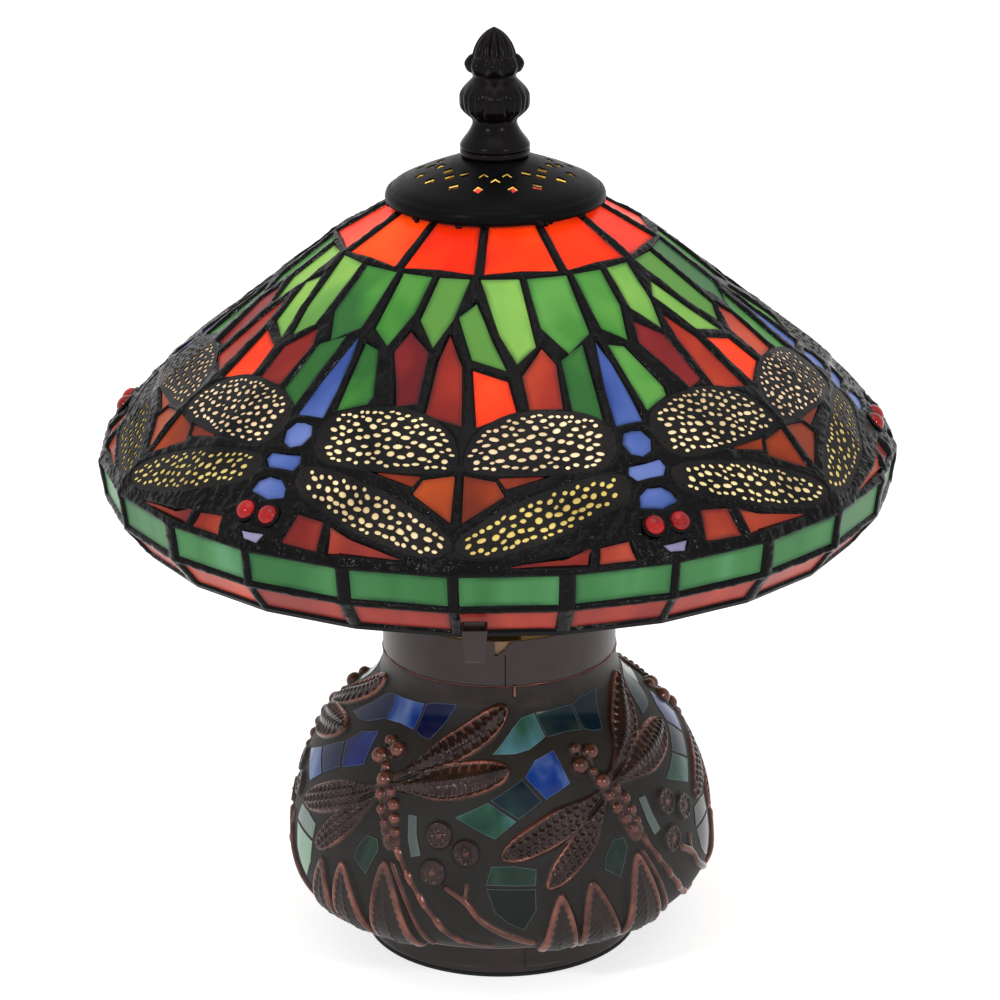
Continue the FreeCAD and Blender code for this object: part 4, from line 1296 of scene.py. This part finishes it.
def finial():
    """The cast finial: a foot, a petal bulb, a ring of leaf tips and a ribbed acorn."""
    bottom, height = cap_high.z, finial_high.z - cap_high.z
    turns = [math.tau * k / FINIAL_SIDES for k in range(FINIAL_SIDES)]
    heights, radii = zip(*smooth_line(list(zip(FINIAL_HEIGHTS, FINIAL_RADII)), 5))
    rows = []
    for k in range(FINIAL_ROWS):
        up = k / (FINIAL_ROWS - 1) * height
        base = float(np.interp(up, heights, radii))
        petals = bump_between(up, *PETALS)
        leaves = math.sqrt(bump_between(up, *LEAF_TIPS))
        ribs = bump_between(up, *ACORN_RIBS)
        row = []
        for turn in turns:
            bend = 0.12 * math.sin(turn * 4) * (up - 15)
            radius = base
            radius -= 0.9 * petals * (1 - abs(math.cos(turn * 4 + bend))) ** 2
            radius -= 0.45 * petals * (1 - abs(math.cos(turn * 12))) ** 2
            radius += 1.7 * leaves * abs(math.cos(turn * 4)) ** 1.5
            radius -= 0.75 * ribs * (1 - abs(math.cos(turn * 6))) ** 2
            row.append(round_point(math.degrees(turn), max(0.02, min(radius, FINIAL_WIDEST)), bottom + up))
        rows.append(row)
    points, faces = ring_mesh(rows)
    faces.append(tuple(range(len(points) - FINIAL_SIDES, len(points))))
    build_piece("finial_casting", [(points, faces)], "finial", "cap_bronze", FINIAL_METAL, ["finial"], 60)


def bump_between(value, start, end):
    """A smooth rise and fall between two values."""
    share = (value - start) / (end - start)
    return math.sin(math.pi * share) ** 0.6 if 0 < share < 1 else 0.0


# ---- neck and foot ----


def neck_collar():
    """The sheet collar with its notch and seam, its inside painted as lit brass at the top and dark in shade
    below, and the copper line with a run under it.
    """
    radius, top, bottom = collar_high.x, collar_high.z, collar_low.z
    full_turn = math.tau * radius

    def place(point, lift):
        return round_point(math.degrees(point[0] / radius), radius + lift, point[1])

    around = np.linspace(NECK_SEAM + SEAM_HALF, NECK_SEAM - SEAM_HALF + full_turn, 180)
    lower = [(x, bottom) for x in around]
    notch_left, notch_floor = full_turn - NOTCH_HALF, top - NOTCH_DEPTH
    upper = [(x, top) for x in around if NOTCH_RIGHT < x < notch_left]
    notch_end = [(notch_left, top), (notch_left, notch_floor), (notch_left + 1.0, notch_floor),
                 (around[-1], top - 2.9)]
    notch_start = [(NECK_SEAM + SEAM_HALF, top - 2.5), (NOTCH_RIGHT, top)]
    outline = [Vector(p) for p in lower + list(reversed(notch_start + upper + notch_end))]
    band = sheet(outline, [], place, 0, -1.0, step=3.0)
    build_piece("collar_band", [band], "base", "collar", COLLAR_METAL, ["neck_collar"], 35)
    # painted light and shade: the top of the inner wall is painted as lit brass, the rest dark as in shade
    wall, lining_foot = radius - COLLAR_WALL, top - LINING_DEPTH
    lining = revolve([(wall, top - 0.4), (wall, lining_foot)], 128)
    build_piece("collar_lining", [lining], "base", "brass", LINING_PAINTED_LIT)
    backing = revolve([(wall, lining_foot), (wall, bottom)], 128)
    build_piece("collar_backing_painted_shade", [backing], "base", "collar", CAP_METAL)
    draw = random.Random(4)
    line = [round_point(3 * k, radius + 0.1, bottom + 0.3 + draw.uniform(-0.1, 0.15)) for k in range(120)]
    radii = [draw.uniform(0.2, 0.36) for _ in line]
    run = [round_point(7, radius + 0.45, bottom + 0.6 - DRIP_LENGTH * k / 6) for k in range(7)]
    run_radii = [0.3, 0.4, 0.4, 0.45, 0.5, 0.6, 0.3]
    solder = [tube_along(line, radii, 8, True), tube_along(run, run_radii, 8, False)]
    build_piece("neck_copper_line", solder, "base", "collar", COPPER)


def foot():
    """The foot ring, with rolled edges and its soldered seam."""
    top, bottom, radius = foot_high.z, foot_low.z, foot_high.x - 0.05
    profile = smooth_line([
        (radius - 1.6, top), (radius - 0.5, top - 0.3), (radius - 0.2, top - 1.4), (radius - 0.35, top - 6),
        (radius - 0.35, bottom + 3.0), (radius - 0.05, bottom + 2.0), (radius, bottom + 0.8),
        (radius - 0.5, bottom), (radius - 2.0, bottom),
    ], 4)
    inner = [(radius - 2.0, bottom), (radius - 2.0, top), (radius - 1.6, top)]
    ring = revolve(profile + inner, 200)
    seam_height = top - bottom - 2
    seam = [round_point(9.5 + 0.15 * (k % 2), radius - 0.25, top - 1 - seam_height * k / 8) for k in range(9)]
    parts = [ring, tube_along(seam, [0.28] * 9, 6, False)]
    build_piece("foot_band", parts, "base", "foot_metal", FOOT_METAL, ["foot_ring"], 50)


def rim_clip():
    """The folded clip that closes the rim strip: a narrow tapered pocket, open at the top."""
    low, high = node_box("rim_clip")
    middle = (low.x + high.x) / 2

    def rounded(value, fullness):
        """A sine or cosine made fuller, so that a round outline turns into an oblong."""
        return math.copysign(min(1.0, abs(value) * fullness), value)

    def outline(width, front, back, height):
        """A rounded oblong across the clip; the front edge lies lower than the back."""
        points = []
        for k in range(CLIP_SIDES):
            turn = math.tau * (k + 0.5) / CLIP_SIDES
            share = 0.5 - 0.5 * rounded(math.sin(turn), 1.6)
            x = middle + width / 2 * rounded(math.cos(turn), 1.25)
            points.append(Vector((x, back + (front - back) * share, height - CLIP_SLANT * share)))
        return points

    front, back, width = low.y + 0.05, high.y - 0.05, high.x - low.x - 0.1
    top, bottom = high.z - 0.1, high.z - CLIP_LENGTH
    points, faces = ring_mesh([
        outline(width * 0.7, front + 0.9, back - 0.2, bottom),
        outline(width * 0.76, front + 0.4, back, bottom + 0.6),
        outline(width, front, back, top),
        outline(width - 1.2, front + 0.6, back - 0.6, top),
        outline(width - 2.0, front + 1.0, back - 0.8, top - 4),
    ])
    faces += [tuple(range(CLIP_SIDES)), tuple(range(len(points) - CLIP_SIDES, len(points)))]
    build_piece("folded_clip", [(points, faces)], "shade", "lead", COLLAR_METAL, ["rim_clip"], 50)


def soften(thing, width):
    """Rounds a piece's sharp edges a little."""
    bevel = thing.modifiers.new("soft_edges", "BEVEL")
    bevel.width = width * MM
    bevel.segments = 2
    bevel.limit_method = "ANGLE"
    bevel.angle_limit = math.radians(40)


# ---- the cast base ----


def fine_profile():
    """The casting's outside as many points, evenly spaced from the neck down: radii, heights, distances."""
    line = np.array(smooth_line(BASE_PROFILE, 24))
    along = np.concatenate([[0], np.cumsum(np.hypot(*np.diff(line, axis=0).T))])
    even = np.linspace(0, along[-1], 400)
    return np.interp(even, along, line[:, 0]), np.interp(even, along, line[:, 1]), even


BASE_RADII, BASE_HEIGHTS, BASE_ALONG = fine_profile()
BASE_LENGTH = BASE_ALONG[-1]
BASE_LEAN_OUT = -np.gradient(BASE_HEIGHTS, BASE_ALONG)
BASE_LEAN_UP = np.gradient(BASE_RADII, BASE_ALONG)


def base_places(angle, along, lift):
    """Places over the casting's smooth outside."""
    radius, height, out, up = (
        np.interp(along, BASE_ALONG, values)
        for values in (BASE_RADII, BASE_HEIGHTS, BASE_LEAN_OUT, BASE_LEAN_UP)
    )
    return places_round(angle, radius + lift * out, height + lift * up)


def smoothstep(value, start, end):
    """An eased share of the way from a start to an end."""
    share = np.clip((value - start) / (end - start), 0, 1)
    return share * share * (3 - 2 * share)


class Relief:
    """The height of the cast ornament over one dragonfly's share of the base.

    Angles count from the thorax and distances run down the casting.
    """

    def __init__(self):
        columns = round(BASE_SHARE / RELIEF_ANGLE_STEP)
        self.rows = round(BASE_LENGTH / RELIEF_STEP) + 1
        self.angle = (np.arange(columns) * RELIEF_ANGLE_STEP)[None, :]
        self.along = np.linspace(0, BASE_LENGTH, self.rows)[:, None]
        self.degree = np.radians(1) * np.interp(self.along, BASE_ALONG, BASE_RADII)
        self.height = np.zeros((self.rows, columns))
        self.raised = np.zeros_like(self.height)
        self.copper = np.zeros_like(self.height)

    def across(self, angle):
        """How far each place lies from an angle, in degrees, the short way round."""
        return (self.angle - angle + BASE_SHARE / 2) % BASE_SHARE - BASE_SHARE / 2

    def add(self, height, mask, copper=0.0):
        self.copper = np.where((height > self.height) & (mask > 0), copper, self.copper)
        self.height = np.maximum(self.height, height * (mask > 0))
        self.raised = np.maximum(self.raised, mask)

    def bead(self, angle, along, radius, tall=1.0):
        out = np.hypot(self.across(angle) * self.degree, self.along - along)
        dome = tall * np.sqrt(np.clip(radius ** 2 - out ** 2, 0, None))
        self.add(dome, smoothstep(radius - out, -0.2, 0.2), 0.6)

    def long_bead(self, angle, along, half_length, half_width, lean):
        x, y = self.across(angle) * self.degree, self.along - along
        turn = math.radians(lean)
        long_way = (x * math.cos(turn) + y * math.sin(turn)) / half_length
        wide_way = (y * math.cos(turn) - x * math.sin(turn)) / half_width
        inside = 1 - np.hypot(long_way, wide_way)
        self.add(1.5 * np.sqrt(np.clip(inside, 0, None)), smoothstep(inside, -0.05, 0.1), 0.9)

    def wing(self, root, tip, width, banded):
        """A wing from root to tip: a rounded rim round a net of cells, or round bricks and a row of beads."""
        middle = (root[0] + tip[0]) / 2
        x = self.across(middle) * self.degree
        start_x, end_x = (root[0] - middle) * self.degree, (tip[0] - middle) * self.degree
        run_x, run_y = end_x - start_x, tip[1] - root[1]
        length = np.hypot(run_x, run_y)
        from_x, from_y = x - start_x, self.along - root[1]
        share = (from_x * run_x + from_y * run_y) / length ** 2
        side = (from_x * run_y - from_y * run_x) / length
        spread = 0.24 + 0.76 * smoothstep(share, 0, 0.5)
        spread = spread * np.sqrt(np.clip(1 - np.clip((share - 0.5) / 0.5, 0, 1) ** 2.4, 0, 1))
        half = width / 2 * spread
        inside = np.where((share > 0) & (share < 1), half - np.abs(side), -9)
        body = 1.3 * smoothstep(inside, -0.1, 0.7) + 0.4 * smoothstep(inside, 1.0, 4.0)
        rim = 0.25 * np.exp(-((inside - 0.5) / 0.35) ** 2)
        within = smoothstep(inside, 0.8, 1.2)
        if banded:
            row = side / np.maximum(half, 0.5)
            brick = np.abs((share * length / BRICK_LENGTH) % 1 - 0.5)
            pit = smoothstep(brick, 0.42, 0.3) * smoothstep(np.abs(np.abs(row) - 0.63), 0.3, 0.2)
            bead_step = ((share * length / 2.1) % 1 - 0.5) * 2.1
            bead = np.sqrt(np.clip(1 - np.hypot(bead_step, side) ** 2 / 1.1, 0, None))
            cells = (0.75 * bead * (half > 2) - 0.6 * pit) * within
            banks = 0.8 * (row > 0.33) * smoothstep(share, 0.35, 0.6)
            copper = np.clip(0.9 * smoothstep(inside, 1.4, 0.8) * smoothstep(share, 0.2, 0.6) + banks, 0, 1)
        else:
            row = side / CELL_WIDTH
            number = np.floor(row + 0.5)
            step = share * length / CELL_LENGTH + 0.5 * (number % 2)
            out = np.hypot(row - number, step - np.floor(step) - 0.5)
            cells = -0.85 * smoothstep(out, 0.5, 0.2) * within
            copper = smoothstep(inside, 1.4, 0.8) * smoothstep(share, 0.3, 0.7)
        self.add(body + rim + cells, smoothstep(inside, -0.3, 0.2), copper)

    def rib(self, line, radius, tall):
        """A rounded ridge along a line of (angle, distance)."""
        nearest = np.full(self.height.shape, 1e9)
        places = smooth_line(line, 5)
        for start, end in zip(places, places[1:]):
            x = self.across(start[0]) * self.degree
            run_x, run_y = (end[0] - start[0]) * self.degree, end[1] - start[1]
            from_y = self.along - start[1]
            share = np.clip((x * run_x + from_y * run_y) / (run_x ** 2 + run_y ** 2), 0, 1)
            nearest = np.minimum(nearest, np.hypot(x - share * run_x, from_y - share * run_y))
        ridge = tall * np.sqrt(np.clip(1 - (nearest / radius) ** 2, 0, None))
        self.add(ridge, smoothstep(radius - nearest, -0.2, 0.3), 0.5)

    def roundel(self, angle, along, radius):
        """A berry: a rim, a bead in the middle and spokes between them."""
        x, y = self.across(angle) * self.degree, self.along - along
        out = np.hypot(x, y)
        spokes = 0.22 * np.cos(np.arctan2(y, x) * 9)
        spokes = spokes * smoothstep(out, 0.8, 1.4) * smoothstep(radius - out, 0.6, 1.2)
        rim = 0.6 * np.exp(-((out - radius + 0.6) / 0.45) ** 2)
        self.add(0.9 + spokes + rim, smoothstep(radius - out, -0.2, 0.4))
        self.bead(angle, along, 1.15, 1.45)

    def leaf(self, tip, left, right, foot):
        """A pointed leaf that bulges downwards, with a broad saw-edged rim, a midrib and slanting veins."""
        share = (self.along - tip[1]) / (foot - tip[1])
        inside_share = np.clip(share, 0, 1)
        centre = tip[0] + ((left + right) / 2 - tip[0]) * inside_share ** 1.3
        x = self.across(0) - centre
        x = ((x + BASE_SHARE / 2) % BASE_SHARE - BASE_SHARE / 2) * self.degree
        half = (right - left) / 2 * self.degree * inside_share ** 0.58
        inside = (half - np.abs(x)) * (share > 0)
        tooth = np.abs((self.along / 2.3) % 1 - 0.5)
        rim = smoothstep(inside, 2.3 + 1.4 * tooth, 1.8 + 1.4 * tooth)
        dome = np.sqrt(np.clip(1 - (x / np.maximum(half, 0.5)) ** 2, 0, None))
        body = 0.75 * smoothstep(inside, 0, 0.6) + 1.5 * dome * smoothstep(share, 0.1, 0.9)
        veins = 0.12 * np.cos((self.along - 1.1 * np.abs(x)) * math.tau / 2.3) * smoothstep(inside, 2.2, 3.2)
        midrib = 0.3 * np.exp(-(x / 0.4) ** 2) * smoothstep(inside, 0.5, 1.5)
        under = smoothstep(self.along, foot + 2.5, foot)
        shown = smoothstep(inside, 0, 0.5) * (0.4 + 0.6 * rim)
        self.add((body + 0.55 * rim + veins + midrib) * under, shown * under, 0.95 * rim)

    def sink(self, outline):
        """Lowers the ground under a tile."""
        middle = sum(angle for angle, _ in outline) / len(outline)
        places = np.broadcast_arrays(self.across(middle) + middle, self.along)
        inside = inside_distance(*places, outline) > 0
        self.height = np.where(inside, -TILE_SEAT, self.height)
        self.raised = np.where(inside, 0, self.raised)


def sector_relief():
    """All the ornament of one dragonfly's share of the base."""
    relief = Relief()
    for line, radius, tall in STEMS + BODY_RIBS:
        relief.rib(line, radius, tall)
    for tip, left, right in LEAVES:
        relief.leaf(tip, left, right, LEAF_FOOT)
    for angle, along in BERRIES:
        relief.roundel(angle, along, BERRY_RADIUS)
    for root, tip, width, banded in CAST_WINGS:
        relief.wing(root, tip, width, banded)
    for tail_bead in TAIL_BEADS:
        relief.long_bead(*tail_bead)
    for bead in BEADS:
        relief.bead(*bead)
    return relief


def blurred(field, reach):
    """The field averaged over a square window, wrapping round the axis."""
    result = field
    for axis in (0, 1):
        total = sum(np.roll(result, shift, axis) for shift in range(-reach, reach + 1))
        result = total / (2 * reach + 1)
    return result


def base_casting():
    """The casting with its ornament as real relief, and where its edges are rubbed bright."""
    relief = sector_relief()
    for outline in SHARE_TILES:
        relief.sink(shrunk([Vector(corner) for corner in outline], 1.0))
    lip = 0.7 * np.exp(-((relief.along - LIP_ALONG) / 0.9) ** 2) + 0 * relief.height
    relief.add(relief.height + lip, smoothstep(lip, 0.15, 0.4), 0.55)
    # the neck band gets the relief's gloss and its lighter colour: a real gloss and a painted sheen
    relief.raised = np.maximum(relief.raised, NECK_GLOSS_AND_PAINTED_SHEEN * smoothstep(relief.along, 8, 6))
    smooth = blurred(relief.height, 1)
    crests = np.clip(0.35 + (smooth - blurred(smooth, 4)) * 2.0, 0, 1)
    bright = crests * relief.raised * relief.copper
    height, rubbed, raised = (
        np.tile(field, (1, BASE_DRAGONFLIES)) for field in (smooth, bright, relief.raised)
    )
    rows, columns = height.shape
    height[:4] *= np.linspace(0, 1, 4)[:, None]
    height[-4:] *= np.linspace(1, 0, 4)[:, None]
    angle = (FIRST_THORAX + np.arange(columns) * RELIEF_ANGLE_STEP)[None, :]
    mesh = grid_mesh("casting_relief", base_places(angle, np.linspace(0, BASE_LENGTH, rows)[:, None], height))
    for name, values in (("rubbed", rubbed), ("raised", raised)):
        mark(mesh, name, values.ravel().astype(np.float32))
    add_piece("casting_relief", mesh, "base", "casting", CAST, ["base_casting"])
    neck, skirt = BASE_PROFILE[0][0], BASE_PROFILE[-1][0]
    bore = [(neck, casting_high.z), (neck - BORE_WALL, casting_high.z), (neck - BORE_WALL, casting_low.z),
            (skirt, casting_low.z)]
    build_piece("casting_bore", [revolve(bore, 120)], "base", "casting", FOOT_METAL)


def grid_mesh(name, places, kept=None, turned=False):
    """A mesh of quads over a grid of points that closes round the axis, or of the kept ones alone."""
    rows, columns, _ = places.shape
    row, column = np.meshgrid(np.arange(rows - 1), np.arange(columns), indexing="ij")
    beside = (column + 1) % columns
    corners = [row * columns + column, (row + 1) * columns + column, (row + 1) * columns + beside,
               row * columns + beside]
    quads = np.stack(corners[::-1] if turned else corners, axis=-1)
    quads = quads[kept] if kept is not None else quads.reshape(-1, 4)
    used, quads = np.unique(quads, return_inverse=True)
    quads = quads.reshape(-1, 4)
    mesh = bpy.data.meshes.new(name)
    mesh.vertices.add(len(used))
    mesh.vertices.foreach_set("co", (places.reshape(-1, 3)[used] * MM).astype(np.float32).ravel())
    mesh.loops.add(quads.size)
    mesh.loops.foreach_set("vertex_index", quads.ravel().astype(np.int32))
    mesh.polygons.add(len(quads))
    mesh.polygons.foreach_set("loop_start", np.arange(0, quads.size, 4, dtype=np.int32))
    mesh.update(calc_edges=True)
    mesh.validate()
    mesh.shade_smooth()
    return mesh


def tiles():
    """The mosaic's glass tiles, each set a little proud of the casting."""
    groups = {name: [] for name in TILE_LOOKS}
    for share in range(BASE_DRAGONFLIES):
        thorax = FIRST_THORAX - BASE_SHARE * share

        def place(point, lift):
            return Vector(base_places(thorax + point[0] / TILE_SCALE, point[1], lift))

        for group, outline in share_tiles(share):
            flat = [Vector((angle * TILE_SCALE, along)) for angle, along in outline]
            outside = split_edges(flat, 2.0)
            groups[group].append(sheet(outside, [], place, TILE_LIFT, -TILE_SEAT - 0.4, step=2.4))
    for group, parts in groups.items():
        look = mosaic_glass(group + "_look", glass_shades(*TILE_LOOKS[group]))
        mesh = mesh_from(group, *join_parts(parts), 50)
        soften(add_piece(group.replace("tiles", "mosaic"), mesh, "base", group, look, [group]), 0.22)


def split_edges(loop, step):
    """A closed outline with its long edges divided."""
    line = []
    for start, end in zip(loop, loop[1:] + loop[:1]):
        count = max(1, round((end - start).length / step))
        line += [start + (end - start) * k / count for k in range(count)]
    return line


def shrunk(loop, gap):
    """A closed outline with its corners drawn in towards its middle by a gap."""
    middle = sum(loop, Vector((0, 0))) / len(loop)
    return [point + (middle - point).normalized() * gap for point in loop]


def share_tiles(share):
    """The tiles of one dragonfly's share: (colour group, outline)."""
    blue = "tiles_cobalt" if share % 2 else "tiles_teal"
    low = "tiles_pale_green" if share in (2, 4) else "tiles_dark_green"
    members = [(blue, UPPER_BAND), (blue, LOWER_BAND[:2]), ("tiles_cobalt", LOWER_BAND[2:])]
    members += [("tiles_pale_green", [SLIVER_TILE]), ("tiles_dark_green", [MOSS_TILE]), (low, LOW_TILES)]
    return [(group, outline) for group, outlines in members for outline in outlines]


# ---- bulb ----


def bulb():
    """The frosted bulb, with a smooth envelope."""
    low, high = node_box("bulb_glass")
    profile = [
        (0.02, high.z), (9, high.z - 1.6), (17, high.z - 6.5), (22, high.z - 15), (high.x - 0.3, high.z - 24),
        (22.6, high.z - 33), (19, high.z - 44), (15.2, high.z - 54), (13.1, low.z),
    ]
    glass = revolve(smooth_line(profile, 5), 72)
    envelope = build_piece("bulb_envelope", [glass], "bulb", "bulb_white", FROSTED_GLASS, ["bulb_glass"])
    # The point light stands inside the envelope, and shines out through it.
    envelope.visible_shadow = False


# ---- floor, light and camera ----


def backdrop_rays(tree):
    """An output that is 1 for the rays that show the backdrop: camera, glossy and transmission rays."""
    path = tree.nodes.new("ShaderNodeLightPath")
    total = path.outputs["Is Camera Ray"]
    for kind in ("Is Glossy Ray", "Is Transmission Ray"):
        either = tree.nodes.new("ShaderNodeMath")
        either.operation = "MAXIMUM"
        tree.links.new(total, either.inputs[0])
        tree.links.new(path.outputs[kind], either.inputs[1])
        total = either.outputs["Value"]
    return total


def studio():
    """A white floor and backdrop, with broad soft lights."""
    bpy.ops.mesh.primitive_plane_add(size=FLOOR_SIZE)
    floor = bpy.context.object
    floor.name = "studio_floor"
    floor.location.z = -FLOOR_GAP
    white = Shader("floor_white", roughness=0.8)
    white.set("Base Color", (0.9, 0.9, 0.9))
    white.set("Specular IOR Level", 0.1)
    white.set("Emission Color", (1, 1, 1))
    white.set("Emission Strength", white.math("MULTIPLY", backdrop_rays(white.tree), FLOOR_LIFT))
    floor.data.materials.append(white.material)

    world = bpy.data.worlds.new("studio")
    bpy.context.scene.world = world
    world.use_nodes = True
    tree = world.node_tree
    background = tree.nodes["Background"]
    strength = tree.nodes.new("ShaderNodeMapRange")
    strength.inputs["To Min"].default_value = WORLD_LIGHT
    strength.inputs["To Max"].default_value = 1.0
    tree.links.new(backdrop_rays(tree), strength.inputs["Value"])
    tree.links.new(strength.outputs["Result"], background.inputs["Strength"])
    background.inputs["Color"].default_value = (1, 1, 1, 1)

    for name, place, size, power in SOFT_LIGHTS:
        lamp = bpy.data.lights.new(name, "AREA")
        lamp.shape = "RECTANGLE"
        lamp.size, lamp.size_y = size
        lamp.energy = power
        aim = (Vector(LIGHT_AIM) - Vector(place)).to_track_quat("-Z", "Y").to_euler()
        stand(name, lamp, place, aim)

    glow = bpy.data.lights.new("bulb_glow", "POINT")
    glow.energy = BULB_POWER
    glow.color = BULB_COLOUR
    glow.shadow_soft_size = BULB_SOFTNESS
    stand("bulb_glow", glow, (0, 0, BULB_CENTRE * MM), (0, 0, 0))


def stand(name, data, place, turn):
    """Puts a light or a camera in the scene."""
    thing = bpy.data.objects.new(name, data)
    thing.location = place
    thing.rotation_euler = turn
    bpy.context.scene.collection.objects.link(thing)
    return thing


def camera():
    """The camera, a little above the lamp and in front of it."""
    lens = bpy.data.cameras.new("camera")
    lens.lens = CAMERA_LENS
    lens.sensor_width = CAMERA_FILM
    lens.shift_x, lens.shift_y = CAMERA_SHIFT
    tilt = Matrix.Rotation(math.radians(90 - CAMERA_TILT), 3, "X")
    roll = Matrix.Rotation(math.radians(CAMERA_ROLL), 3, "Z")
    bpy.context.scene.camera = stand("camera", lens, CAMERA_PLACE, (tilt @ roll).to_euler())


def build():
    paint_nodes()
    wings = wing_sets()
    panes = all_panes()
    shade_lead(panes, wings)
    glass_panes(panes)
    dragonfly_wings(wings)
    eye_jewels()
    rim_clip()
    vent_cap()
    finial()
    neck_collar()
    foot()
    base_casting()
    tiles()
    bulb()
    studio()
    camera()
    bpy.context.scene.view_settings.view_transform = "Standard"


build()
bpy.context.view_layer.update()
